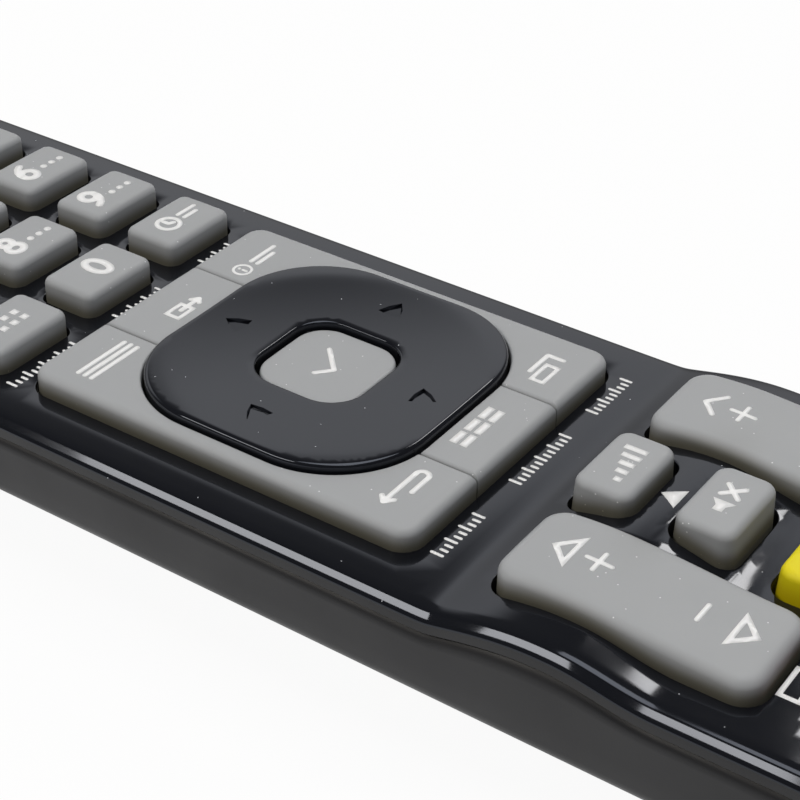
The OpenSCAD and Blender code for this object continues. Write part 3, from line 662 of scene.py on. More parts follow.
def block_outline(column, row, grow=0.0):
    """Outline of one block key about the ring's centre: the border outside, then the groove or hairline,
    then the ring's cut-out backwards. It is worked out for the upper right and mirrored."""
    w, l, r = BLOCK
    border = round_loop(w + 2 * grow, l + 2 * grow, r + grow, 0, row * BLOCK_SHIFT, corner=8, side=24)
    low, left, right_ = 0.0, -GROOVE + GROOVE_HALF, GROOVE - GROOVE_HALF
    if column:
        low, left, right_ = SPLIT_HALF, GROOVE + GROOVE_HALF, w

    def part(loop):
        p = loop[(loop[:, 0] > left) & (loop[:, 0] < right_) & (loop[:, 1] > low)]
        return p[np.argsort(np.arctan2(p[:, 1], p[:, 0]))]

    def at_x(loop, x):
        p = loop[loop[:, 1] > 0]
        p = p[np.argsort(p[:, 0])]
        return np.array([[x, np.interp(x, p[:, 0], p[:, 1])]])

    out, back = part(border), part(cut)[::-1]
    if column == 0:
        first, last = (at_x(border, right_), at_x(cut, left)), (at_x(border, left), at_x(cut, right_))
    else:
        first = (np.array([[w / 2 + grow, low]]), at_x(cut, left))
        last = (at_x(border, left), np.array([[RING[0] / 2 + RING_GAP, low]]))
    t = np.linspace(0, 1, 10)[1:-1, None]
    groove = last[0] + (first[1] - last[0]) * t
    home = last[1] + (first[0] - last[1]) * (t if column == 0 else 0.23)
    loop = np.concatenate([first[0], out, last[0], groove, first[1], back, last[1], home])
    if column < 0:
        loop = (loop * (-1, 1))[::-1]
    if row < 0:
        loop = (loop * (1, -1))[::-1]
    return loop


def block_edge(loop, column):
    """Rows of the rounded top edge. Each side of the outline has its own radius: wide along the border, small
    along the ring and the grooves, none at the hairline. A corner moves in by both of its sides' insets."""
    e = np.roll(loop, -1, 0) - loop
    n = np.stack([e[:, 1], -e[:, 0]], -1) / np.linalg.norm(e, axis=1)[:, None]
    middle = loop + e / 2
    at_ring = round_distance(middle[:, 0], middle[:, 1], *RING) < RING_GAP + 0.05
    at_groove = (np.abs(np.abs(middle[:, 0]) - GROOVE) < 0.15) & (np.abs(n[:, 0]) > 0.9)
    at_split = (np.abs(middle[:, 1]) < 0.1) & (column != 0)
    radius = np.where(at_ring, RING_ROUND, BORDER_ROUND)
    radius = np.where(at_split, 0.0, np.where(at_groove, GROOVE_ROUND, radius))
    before_n, before_r = np.roll(n, 1, 0), np.roll(radius, 1)
    c = (n * before_n).sum(1)
    bent = 1 - c ** 2 > 0.05
    base = np.where(bent, 1 - c ** 2, 1.0)
    straight = ((radius + before_r) / 2 / (1 + np.maximum(c, 0)))[:, None] * (n + before_n)
    corner = ((before_r - c * radius) / base)[:, None] * before_n
    corner = corner + ((radius - c * before_r) / base)[:, None] * n
    move = np.where(bent[:, None], corner, straight)
    deep = np.maximum(radius, before_r)
    return [(loop - i * move, d * deep) for i, d in fillet(1.0, 7)]


def block_top(x, y):
    """The block's top is level."""
    return np.full(np.shape(x), BLOCK_TOP)


for node, (column, row) in BLOCK_KEYS.items():
    loop = block_outline(column, row)
    layers = [np.column_stack([loop, np.full(len(loop), FLANGE[1] + 0.3)])]
    layers += [np.column_stack([p, BLOCK_TOP - d]) for p, d in block_edge(loop, column)]
    layers = np.stack(layers) + (0, RING_Y, 0)
    tongue = carry(block_outline(column, row, FLANGE[0]) + (0, RING_Y), [(0, FLANGE[1]), (0, FLANGE[2])])
    foot_x = column * (BLOCK[0] / 2 + GROOVE) / 2
    foot_y = RING_Y + BLOCK_SHIFT / 2 + row * (BLOCK[1] + RING[1] + 1.0) / 4
    make_piece("rubber_" + node, [skin(layers), lid(layers[0], False), lid(layers[-1]), skin(tongue),
                                  lid(tongue[0], False), lid(tongue[-1]), stem(foot_x, foot_y)],
               [GREY], node, [node], "grey_rubber")
    tops[node], places[node] = block_top, (0, RING_Y)
print("block keys:", len(BLOCK_KEYS))

# %% [markdown]
# ## Rockers
#
# The two long rockers ride on the wave: their tops follow it, with a shallow waist between the
# two ends. The outline is carried up to a height that is a formula of y, and a round pin under
# the cover is what each one tips on.

# %% Rockers
ROCKER = (11.9, 26.8, 2.5)   # width, length and corner radius
ROCKER_X, ROCKER_Y = 14.4, RING_Y - 46.2
ROCKER_LOW, PIN_Z = 17.1, 16.95
ROCKER_EDGE, ROCKER_DRAFT = 1.1, 0.06
ROCKER_FALL = 24.5           # length over which its top comes down from the crest


def rocker_top(x, y):
    """Panel plus the wave's climb and one long fall, plus 2.2 mm at the waist and 0.7 mm more at the ends by
    the square of y, rounded off by a tenth across."""
    d = RING_Y - y
    across = 0.12 * ((np.abs(x) - ROCKER_X) / (ROCKER[0] / 2)) ** 2
    line = WAVE_HIGH * climb(d) * (1 - slope(d, CREST, ROCKER_FALL))
    return PANEL + line + 2.2 + 0.7 * ((y - ROCKER_Y) / (ROCKER[1] / 2)) ** 2 - across


for node, side in (("volume_rocker", -1), ("channel_rocker", 1)):
    x = side * ROCKER_X
    loop = round_loop(*ROCKER, x, ROCKER_Y, corner=10, side=44)
    rows = drafted(rocker_top, ROCKER_LOW, ROCKER_EDGE, ROCKER_DRAFT, (0.5, 0.8), 7)
    layers = carry(loop, [(0, ROCKER_LOW)] + rows)
    cap = np.concatenate([layers, crown(layers[-1], rocker_top, np.array([x, ROCKER_Y]), spine=True)])
    pin = turned((x, ROCKER_Y, PIN_Z), [(0.75, -7.15), (0.9, -7.0), (0.9, 7.0), (0.75, 7.15)], axis=0)
    feet = [stem(x, ROCKER_Y + s * 9, 15.17, ROCKER_LOW + 0.4) for s in (-1, 1)]
    make_piece("rubber_" + node, [skin(cap), lid(layers[0], False), pin] + feet, [GREY], node, [node],
               "grey_rubber")
    tops[node], places[node] = rocker_top, (0, RING_Y)
print("rocker top at its waist", round(float(rocker_top(ROCKER_X, ROCKER_Y)), 2), "mm")

# %% [markdown]
# ## Gloss cover
#
# The cover is one moulding: a panel with an opening for every key, a rim that rolls off to the
# sides, and a low wave across it. The panel is a filled outline lifted by the wave. The rim and the
# satin side below it are one profile carried round the body's outline, and each opening has a
# small rolled edge. A flat ceiling and four screw posts close the moulding from below.

# %% Outline of the body, with close points where the wave is
RIM = [(1.95, 0.0), (1.8, -0.004), (1.65, -0.012), (1.4, -0.035), (1.1, -0.085), (0.95, -0.125),
       (0.84, -0.18), (0.7, -0.30), (0.5, -0.5), (0.3, -0.7), (0.16, -0.85), (0.06, -0.99), (0.01, -1.1),
       (0.0, -1.2)]   # inset and drop of the rolled rim
SKIRT = [(0.0, -1.2), (0.0, -EDGE_DROP + 0.1), (0.08, -EDGE_DROP), (WALL, -EDGE_DROP)]
STRAIGHT = BODY[1] / 2 - BODY[2]
wave_ys = RING_Y - np.concatenate([np.linspace(27.5, 67.5, 81), WAVE_START + np.linspace(-1.2, 1.2, 17)])
ys = np.unique(np.concatenate([np.linspace(-STRAIGHT, STRAIGHT, 61), wave_ys]))
flank = np.column_stack([np.full(len(ys), BODY[0] / 2), ys])
ends = round_loop(*BODY, corner=16, side=7)
body_loop = np.concatenate([flank, ends[ends[:, 1] > STRAIGHT + 1e-6], (flank * (-1, 1))[::-1],
                            ends[ends[:, 1] < -STRAIGHT - 1e-6]])
print("body outline has", len(body_loop), "points")

# %% [markdown]
# ### Panel and openings
#
# Each key stands in an opening with an even gap, as moulded parts need. Boolean cuts could make the
# openings, but they leave ragged faces, so here they are loops of the filled panel from the start.


# %% Panel, rim, openings and underside
def over_wave(rise):
    """A height over the panel that rides on the wave."""
    return lambda x, y: PANEL + rise + wave(x, y)


def underside(x, y):
    """Height of the cover's underside: level, and raised under the wave so that its side keeps a lower
    edge."""
    return np.maximum(CEILING, PANEL - EDGE_DROP + wave(x, y))


def opening_loop(w, l, r, x, y, grow):
    """Outline of an opening, grown all round."""
    return round_loop(w + 2 * grow, l + 2 * grow, r + grow, x, y, corner=7, side=9 if l < 20 else 36)


GAP, ROLL = 0.3, 0.16   # gap round a key, and radius of the opening's edge
openings = [(*KEY, *places[k]) for k in NUMBER_KEYS + FIELD_KEYS + list(COLOUR_KEYS)]
openings += [(*MIDDLE, *places[k]) for k in MIDDLE_KEYS]
openings += [(*BLOCK, 0, RING_Y + BLOCK_SHIFT)]
openings += [(ROCKER[0], ROCKER[1] + 0.3, ROCKER[2], s * ROCKER_X, ROCKER_Y) for s in (-1, 1)]


def on_panel(x, y, inset=RIM[0][0], grow=GAP + ROLL, spare=0.0):
    """True inside the body's outline and outside every opening, with some room to spare from both."""
    good = round_distance(x, y, BODY[0] - 2 * inset, BODY[1] - 2 * inset, BODY[2] - inset) < -spare
    for w, l, r, ox, oy in openings:
        good &= round_distance(x - ox, y - oy, w + 2 * grow, l + 2 * grow, r + grow) > spare
    return good


rim = carry(body_loop, [(i, over_wave(h)) for i, h in RIM[::-1]])
side_wall = carry(body_loop, [(i, over_wave(h)) for i, h in SKIRT[::-1]])
inner_wall = carry(body_loop, [(WALL, underside), (WALL, over_wave(-EDGE_DROP))])
holes = [opening_loop(*o, GAP + ROLL) for o in openings]
level_ys = np.concatenate([np.linspace(-104, -66, 14), np.linspace(-20, 104, 40)])
loose = np.concatenate([lattice(np.linspace(-23.2, 23.2, 24), wave_ys),
                        lattice(np.linspace(-22, 22, 9), level_ys)])
loose = loose[on_panel(*loose.T, spare=0.25)]
flat, faces = fill([rim[-1][:, :2]] + holes, loose, on_panel)
cover_parts = [lifted(flat, faces, PANEL + wave(*flat.T)), skin(rim),
               (*skin(side_wall), 1), (*skin(inner_wall), 1)]
roll_rows = [(ROLL - i, over_wave(-d)) for i, d in fillet(ROLL, 4)[::-1]]
hole_walls = [carry(hole, roll_rows + [(ROLL, underside)]) for hole in holes]
cover_parts += [skin(wall) for wall in hole_walls]
ceiling, ceiling_faces = fill([inner_wall[0][:, :2]] + [wall[-1][:, :2] for wall in hole_walls], [],
                              lambda x, y: on_panel(x, y, WALL, GAP))
cover_parts.append((*lifted(ceiling, ceiling_faces, underside(*ceiling.T), False), 1))
SCREWS = [(x, y) for x in (-8.0, 8.0) for y in (-99.3, 99.3)]
BORE, POST, POST_LOW, POST_HIGH = 0.9, 2.35, 9.55, CEILING + 0.3   # radii and ends of a screw post
for x, y in SCREWS:
    post = [(BORE, POST_HIGH), (BORE, POST_LOW), (POST, POST_LOW), (POST, POST_HIGH), (BORE, POST_HIGH)]
    cover_parts.append((*turned((x, y, 0), post, caps=False), 1))
cover = make_piece("gloss_top_cover", cover_parts, [GLOSS, SATIN], "case", ["top_cover"], "gloss_black", 30)
print("cover faces:", len(cover.data.polygons))

# %% [markdown]
# ## Lower shell
#
# The lower shell has upright walls, a chine where they turn in to sloping sides, and a flat belly
# with rounded ends. Its underside is a height formula over the plan, filled round the battery
# opening and the two open screw holes, and the walls are a profile carried round the outline. One
# Solidify modifier gives the whole shell its wall, just as a moulding has one even thickness.

# %% Shape of the underside
CHINE = (25.1, 9.7)   # half width and height of the chine
BELLY = 13.5           # half width of the flat belly
END = 6.0              # radius of the belly at both ends


def belly_height(x, y):
    """Height of the underside: the sloping sides start softly at the belly's edge, the ends are quarter
    circles, and the greater of both counts."""
    past = np.abs(x) - BELLY
    side = (past + np.sqrt(past ** 2 + 0.5)) / 2 * CHINE[1] / (CHINE[0] - BELLY)
    over = np.clip(np.abs(y) - BODY[1] / 2 + END, 0, END - 1e-3)
    end = END - np.sqrt(END ** 2 - over ** 2)
    return np.maximum(side, end) - np.minimum(np.maximum(side, end), 0.012)


print("underside at the chine", round(float(belly_height(CHINE[0], 0)), 2), "mm, at the belly",
      round(float(belly_height(0, 0)), 3), "mm")

# %% [markdown]
# ### Walls and underside
#
# The wall leans in a little, so that the real moulding leaves its tool, and a rounded chine turns it
# into the slope. All rows follow the body's outline, so wall and underside meet point by point.

# %% Walls and underside of the lower shell
TUCK = 1.6   # how far the rounded chine reaches in from the outline
half_door, door_low, door_high, door_top = 11.9, -106.0, -46.3, 1.5    # the battery door
door_y = (door_low + door_high) / 2
window_half, window_low, window_high = 11.15, 8.5, 14.4                # opening for the emitter window
tuck_n = normals_of(body_loop)
chine_start = belly_height(*(body_loop - 0.4 * tuck_n).T)   # underside 0.4 mm in from the outline


def wall_row(t):
    """Row t of the wall, from the parting line down to a millimetre above the chine, leaning in by a
    quarter."""
    p = body_loop - (0.15 + 0.25 * t) * tuck_n
    return np.column_stack([p, (PARTING + wave(*p.T)) * (1 - t) + (chine_start + 1.0) * t])


def chine_row(t):
    """Row t of the chine: a quadratic curve from the wall, drawn towards the corner, on to the slope."""
    inset = 0.4 * (1 - t) ** 2 + 2 * t * (1 - t) * 0.4 + TUCK * t ** 2
    final = belly_height(*(body_loop - TUCK * tuck_n).T)
    z = (chine_start + 1.0) * (1 - t) ** 2 + chine_start * 2 * t * (1 - t) + final * t ** 2
    return np.column_stack([body_loop - inset * tuck_n, z])


end_low = chine_start[np.argmax(body_loop[:, 1])] + 1.0
row_heights = (PARTING, window_high, 11.5, window_low, end_low)   # two rows lie on the opening's edges
walls = [wall_row((PARTING - z) / (PARTING - end_low)) for z in row_heights]
walls += [chine_row(t) for t in (0.25, 0.5, 0.75, 1.0)]
points, (quads,) = skin(np.stack(walls[::-1]))
mx, my, mz = points[quads].mean(1).T
window = (my > 105) & (np.abs(mx) < window_half) & (mz > window_low) & (mz < window_high)
slot_loop = round_loop(2 * half_door + 0.4, door_high - door_low + 0.4, 0.5, 0, door_y, corner=3, side=30)
screw_loops = [round_loop(4.2, 4.2, 2.1, x, y, corner=7, side=0) for x, y in SCREWS if y > 0]
hull_loop = walls[-1][:, :2]
under_ys = [np.linspace(-106.4, -100, 12), np.linspace(-97, 97, 66), np.linspace(100, 106.4, 12)]
loose = lattice(np.linspace(-23.5, 23.5, 48), np.concatenate(under_ys))


def on_skin(x, y, spare=0.0):
    """True on the underside: inside its outline, outside the battery opening and the screw holes."""
    good = round_distance(x, y, BODY[0] - 2 * TUCK, BODY[1] - 2 * TUCK, BODY[2] - TUCK) < -spare
    good &= ~inside_loop(x, y, slot_loop + spare * normals_of(slot_loop))
    for loop in screw_loops:
        good &= ~inside_loop(x, y, loop + spare * normals_of(loop))
    return good


loose = loose[on_skin(*loose.T, 0.3)]
flat, faces = fill([hull_loop, slot_loop] + screw_loops, loose, on_skin)
under = lifted(flat, faces, belly_height(*flat.T), False)
shell = make_piece("satin_lower_shell", [(points, [quads[~window]]), under], [SATIN],
                   "case", ["bottom_cover"], "satin_black", 35)
wall_mod = shell.modifiers.new("wall", "SOLIDIFY")
wall_mod.thickness, wall_mod.offset = WALL * MM, -1
print("lower shell faces:", len(shell.data.polygons))

# %% [markdown]
# ## Inside the lower shell
#
# The battery box, two ribs and four screw bosses stand inside the shell. They are plain blocks and
# turned tubes, as such ribs are, with a Bevel modifier for the small radius that a mould leaves.

# %% Battery box, ribs and bosses
LOW, HIGH, HALF, ROOF = -95.9, -47.1, 14.3, 13.25   # both ends, half width and top of the battery box
inside = [block_part((-HALF, y, 2.0), (HALF, y + 1, ROOF)) for y in (LOW - 1, HIGH)]
inside += [block_part((-HALF + 0.1, LOW - 0.9, ROOF - 1), (HALF - 0.1, HIGH + 0.9, ROOF - 0.05))]
inside += [block_part((x, LOW - 0.8, 3.15), (x + 0.95, HIGH + 0.8, ROOF - 0.1))
           for x in (-HALF + 0.05, HALF - 1)]
inside += [block_part((x, y, 9.7), (x + 11.3, y + 1, ROOF)) for x in (-24.6, 13.3) for y in (LOW - 1, HIGH)]
for x, y in SCREWS:
    foot = 1.2 if y > 0 else 2.0
    boss = [(3.4, foot), (3.4, 9.4), (1.05, 9.4), (1.05, 6.4), (2.1, 6.4), (2.1, foot), (3.4, foot)]
    inside.append(turned((x, y, 0), boss, caps=False))
ribs = make_piece("satin_shell_ribs", inside, [SATIN], "case", ["bottom_cover"], "satin_black")
soften = ribs.modifiers.new("mould radius", "BEVEL")
soften.width, soften.segments, soften.limit_method = 0.12 * MM, 2, "ANGLE"
print("rib faces:", len(ribs.data.polygons))

# %% [markdown]
# ## Battery door
#
# The door is the flat of the belly under the cells. Five grooves in an oval give the thumb a grip,
# and four hooks hold it in the shell. The outer face is the same height formula as the shell, so
# the two always meet, and the grooves are added to it.

# %% Battery door
GRIP_Y, GRIP_PITCH = -58, 2.6   # middle of the grip and distance between its grooves
HOOK = ((10.7, 11.9, 1.3, 2.8), (10.8, 12.9, 2.0, 2.75))   # a hook's two blocks: reach in x, then in z


def door_face(x, y):
    """Outer face of the door: the hull, with five grooves 0.6 mm deep that fade out towards an oval."""
    oval = 1 - (x / 8.5) ** 2 - ((y - GRIP_Y) / 7.5) ** 2
    groove = np.clip(np.cos(2 * np.pi * (y - GRIP_Y) / GRIP_PITCH), 0, 1) ** 0.7
    return belly_height(x, y) + 0.6 * groove * np.clip(oval * 2.5, 0, 1)


door_loop = round_loop(2 * half_door, door_high - door_low, 0.4, 0, door_y, corner=3, side=40)
door_ys = [np.linspace(-105.6, -67, 24), np.linspace(-66, -50, 75), [-48.5, -47]]   # close rows at the grip
loose = lattice(np.linspace(-11.4, 11.4, 24), np.concatenate(door_ys))
flat, faces = fill([door_loop], loose, lambda x, y: np.abs(x) < half_door)
door_parts = [lifted(flat, faces, door_face(*flat.T), False), lifted(flat, faces, door_top),
              skin(carry(door_loop, [(0, door_face), (0, door_top)]))]
for y in (-85.9, -55.1):
    for x0, x1, z0, z1 in HOOK:
        door_parts += [block_part((x0, y, z0), (x1, y + 6, z1)), block_part((-x1, y, z0), (-x0, y + 6, z1))]
door = make_piece("satin_battery_door", door_parts, [SATIN], "battery_door", ["battery_door"],
                  "satin_black", 30)
print("door faces:", len(door.data.polygons))

# %% [markdown]
# ## Parts that keep their CAD shape
#
# The board, the rubber sheet, the cells and the small metal parts have the right shape already, so
# they only get finishes. Most are hidden, but they show when the door slides and from the ends.

# %% Finishes of the inner parts
# Solder mask on glass-epoxy: glossy green, the weave of the glass just visible as ripples 0.4 mm apart.
BOARD, tree, shader = finish("Solder mask on glass-epoxy board, green", "#175b32", Roughness=0.3, IOR=1.55)
place = add(tree, "ShaderNodeTexCoord")
weave = add(tree, "ShaderNodeTexChecker", {"Vector": place.outputs["Object"]}, Scale=1 / (0.4 * MM))
bump = add(tree, "ShaderNodeBump", {"Height": weave.outputs["Fac"]}, Strength=0.4, Distance=0.01 * MM)
tree.links.new(bump.outputs["Normal"], shader.inputs["Normal"])

# Moulded epoxy of the chip: matt black with a gritty surface.
CHIP, tree, shader = finish("Moulded epoxy, black", "#17171a", Roughness=0.6, IOR=1.55)
grain(tree, shader, 0.15, 0.01)

# Clear epoxy of the emitter: bluish and see-through.
CLEAR, tree, shader = finish("Cast clear epoxy, bluish", "#b9bfe0", Roughness=0.08, IOR=1.55,
                             Transmission_Weight=0.7)
grain(tree, shader, 1.2, 0.004)

# Dark red plastic that lets infrared through: almost black, with a deep red where light gets in.
WINDOW_RED = "#1c0508"
WINDOW, tree, shader = finish("Polished infrared plastic, dark red", WINDOW_RED, Roughness=0.06, IOR=1.49)
place = add(tree, "ShaderNodeTexCoord")
specks(tree, shader, place, WINDOW_RED, "#6a5a5c", 1.9, 0.12, 0.08)

# Nickel-plated spring steel: bright, with fine drawing marks along it.
NICKEL, tree, shader = finish("Nickel-plated spring steel", "#cfcac0", Roughness=0.28, Metallic=1.0)
place = grain(tree, shader, 0.12, 0.003)
uneven(tree, shader, place, 1.5, 0.2, 0.36)

# Zinc-plated steel of the screws: greyer and duller.
ZINC, tree, shader = finish("Zinc-plated steel", "#9b9da1", Roughness=0.38, Metallic=1.0)
place = grain(tree, shader, 0.3, 0.004)
uneven(tree, shader, place, 0.8, 0.3, 0.46)
print("inner finishes ready")

# %% [markdown]
# ### Cells
#
# A cell is a steel can in a printed film, dark with a copper-coloured end. A second piece could be the
# film, but it lies flush, so one change of colour along the cell is enough.

# %% Cells and dressing
COPPER, SLEEVE_BLACK = "#b8803a", "#26262a"


def cell_finish(name, low, high):
    """Printed steel can: a dark sleeve with a copper-coloured end, split where y passes a place."""
    m, tree, shader = finish(name, COPPER, Roughness=0.3, Metallic=1.0)
    place = add(tree, "ShaderNodeTexCoord")
    split = add(tree, "ShaderNodeSeparateXYZ", {0: place.outputs["Object"]})
    share = add(tree, "ShaderNodeMapRange", {"Value": split.outputs["Y"], "From Min": low * MM,
                                             "From Max": high * MM})
    mix = add(tree, "ShaderNodeMix", {"Factor": share.outputs["Result"], "A": linear(COPPER),
                                      "B": linear(SLEEVE_BLACK)}, data_type="RGBA")
    tree.links.new(mix.outputs["Result"], shader.inputs["Base Color"])
    uneven(tree, shader, place, 3.0, 0.22, 0.34)
    return m


CELL_LEFT = cell_finish("Printed steel can, left cell", -61.9, -62.1)
CELL_RIGHT = cell_finish("Printed steel can, right cell", -81.1, -80.9)
dressing = {"keypad_mat": DARK, "ring_collar": DARK, "circuit_board": BOARD, "controller_chip": CHIP,
            "emitter": CLEAR, "emitter_window": WINDOW, "battery_left": CELL_LEFT,
            "battery_right": CELL_RIGHT, "battery_springs": NICKEL, "battery_contacts": NICKEL,
            "case_screws": ZINC}
for node, material in dressing.items():
    for material_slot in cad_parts[node].material_slots:
        material_slot.material = material
print("dressed nodes:", len(dressing))

# %% [markdown]
# ## Printed marks
#
# The keys carry white silk-screened marks: numbers and simple signs. A mark is a set of pen
# strokes. Each stroke's outline is its line moved to both sides by half the pen's
# width, with round ends, and all outlines of a key are joined by one triangulation that keeps what
# is inside any of them. The flat mark is then lifted on to the key's top by the top's own formula.


# %% Pen strokes
def arc(x, y, rx, ry, start, end, steps=14):
    """Points on an ellipse from one angle to another, in degrees."""
    a = np.radians(np.linspace(start, end, steps + 1))
    return np.column_stack([x + rx * np.cos(a), y + ry * np.sin(a)])


def path(*corners):
    """A straight-sided line with points at most half a millimetre apart."""
    c = np.array(corners, float)
    pieces = []
    for a, b in zip(c, c[1:]):
        t = np.linspace(0, 1, int(np.linalg.norm(b - a) / 0.5) + 2)[:-1, None]
        pieces.append(a + (b - a) * t)
    return np.concatenate(pieces + [c[-1:]])


PEN = 0.58   # usual width of a stroke


def pen(line, width=PEN):
    """Outline of an open stroke: the line moved to both sides along its mitres, with round ends."""
    p = np.asarray(line, float)
    e = np.diff(p, axis=0)
    e /= np.maximum(np.linalg.norm(e, axis=1), 1e-9)[:, None]
    before, after = np.concatenate([e[:1], e]), np.concatenate([e, e[-1:]])
    mitre = (before + after) / np.maximum(1 + (before * after).sum(1), 0.5)[:, None]
    n = np.stack([mitre[:, 1], -mitre[:, 0]], -1) * width / 2
    angle = np.linspace(0, np.pi, 7)[1:-1, None]
    head, tail = n[-1] / np.linalg.norm(n[-1]), -n[0] / np.linalg.norm(n[0])
    far = p[-1] + width / 2 * (np.cos(angle) * head + np.sin(angle) * e[-1])
    near = p[0] + width / 2 * (np.cos(angle) * tail - np.sin(angle) * e[0])
    return [np.concatenate([p + n, far, (p - n)[::-1], near])]


def stroke(*corners, width=PEN):
    """Outline of a stroke along a straight-sided line."""
    return pen(path(*corners), width)


def hoop(x, y, rx, ry, width=PEN):
    """Outline of a closed oval stroke: an outer and an inner loop."""
    return [arc(x, y, rx + s * width / 2, ry + s * width / 2, 0, 360, 28)[:-1] for s in (1, -1)]


def solid(*corners):
    """A filled shape with straight sides."""
    return [path(*corners, corners[0])[:-1]]


def disc(x, y, r):
    """A filled dot."""
    return [arc(x, y, r, r, 0, 360, 16)[:-1]]


def box(x0, y0, x1, y1):
    """A filled rectangle between two corners."""
    return solid((x0, y0), (x1, y0), (x1, y1), (x0, y1))


def frame_mark(x0, y0, x1, y1, width=0.5):
    """Outline of a box drawn with the pen."""
    return box(x0, y0, x1, y1) + box(x0 + width, y0 + width, x1 - width, y1 - width)


print("a stroke has", len(stroke((0, 0), (2, 0))[0]), "points")

# %% [markdown]
# ### From strokes to ink
#
# Silk-screen ink is a film a few hundredths of a millimetre thick. A texture could show it, but a thin
# mesh keeps its edge sharp from close by.

# %% Printing marks on a top
INK_LIFT, INK_FILM = 0.03, 0.06   # height of the ink over a top, and its thickness


def print_marks(name, marks, top, body):
    """One ink piece: the union of all marks, lifted on to top(x, y) and given the thickness of a print."""
    loops = [loop for mark in marks for loop in mark]

    def inked(x, y):
        good = np.zeros(len(x), bool)
        for mark in marks:
            here = inside_loop(x, y, mark[0])
            for gap in mark[1:]:
                here &= ~inside_loop(x, y, gap)
            good |= here
        return good

    flat, faces = fill(loops, [], inked)
    used, faces = np.unique(faces, return_inverse=True)
    flat, faces = flat[used], faces.reshape(-1, 3)
    piece = make_piece(name, [lifted(flat, faces, top(*flat.T) + INK_LIFT)], [INK], body)
    film = piece.modifiers.new("film", "SOLIDIFY")
    film.thickness, film.offset = INK_FILM * MM, -1


def moved(marks, x, y):
    """The same marks in another place."""
    return [[loop + (x, y) for loop in mark] for mark in marks]


print("ready to print")

# %% [markdown]
# ### Numbers
#
# Each digit is drawn with arcs and straight strokes in a box one unit high, as a plain engineering
# alphabet is.

# %% Numbers
six = np.array([(0.2, 0.47), (0.0, 0.36), (-0.17, 0.17), (-0.255, -0.02), (-0.28, -0.2)])
DIGITS = {
    0: [("hoop", 0, 0, 0.3, 0.5)],
    1: [("line", (-0.16, 0.3), (0.06, 0.5)), ("line", (0.06, 0.5), (0.06, -0.5))],
    2: [("arc", 0, 0.22, 0.28, 0.28, 165, -38), ("line", (0.22, 0.05), (-0.3, -0.5)),
        ("line", (-0.3, -0.5), (0.3, -0.5))],
    3: [("arc", -0.02, 0.25, 0.26, 0.25, 150, -80), ("arc", -0.02, -0.24, 0.3, 0.26, 88, -150)],
    4: [("line", (0.14, 0.5), (-0.32, -0.18)), ("line", (-0.32, -0.18), (0.34, -0.18)),
        ("line", (0.14, 0.5), (0.14, -0.5))],
    5: [("line", (0.26, 0.5), (-0.2, 0.5)), ("line", (-0.2, 0.5), (-0.25, 0.02)),
        ("arc", -0.02, -0.18, 0.3, 0.31, 138, -142)],
    6: [("hoop", 0, -0.21, 0.28, 0.29), ("curve", six)],
    7: [("line", (-0.3, 0.5), (0.3, 0.5)), ("line", (0.3, 0.5), (-0.1, -0.5))],
    8: [("hoop", 0, 0.26, 0.23, 0.24), ("hoop", 0, -0.24, 0.29, 0.26)],
    9: [("hoop", 0, 0.21, 0.28, 0.29), ("curve", -six)],
}


def digit(number, x, y, tall=3.4, width=0.95):
    """The pen marks of one digit, tall mm high, centred at x, y."""
    marks = []
    for kind, *v in DIGITS[number]:
        if kind in ("hoop", "arc"):
            oval = (x + v[0] * tall, y + v[1] * tall, v[2] * tall, v[3] * tall)
            marks.append(hoop(*oval, width) if kind == "hoop" else pen(arc(*oval, *v[4:]), width))
        elif kind == "line":
            marks.append(stroke(*(np.array(c) * tall + (x, y) for c in v), width=width))
        else:
            marks.append(pen(v[0] * tall + (x, y), width))
    return marks


for number, node in enumerate(NUMBER_KEYS):
    x, y = places[node]
    marks = digit(number, x + (0.2 if number == 0 else -2.2), y + 0.1)
    if number:
        marks += [disc(x + dx, y - 0.55, 0.45) for dx in (0.4, 1.8, 3.2)]
    print_marks(f"ink_{node}", marks, tops[node], node)
print("numbers printed: 10")

# %% [markdown]
# ### Signs
#
# The other keys get plain signs: bars for a list, a clock, a crossed speaker, arrowheads and so on.
# Each is drawn about the middle of its key and then moved there.

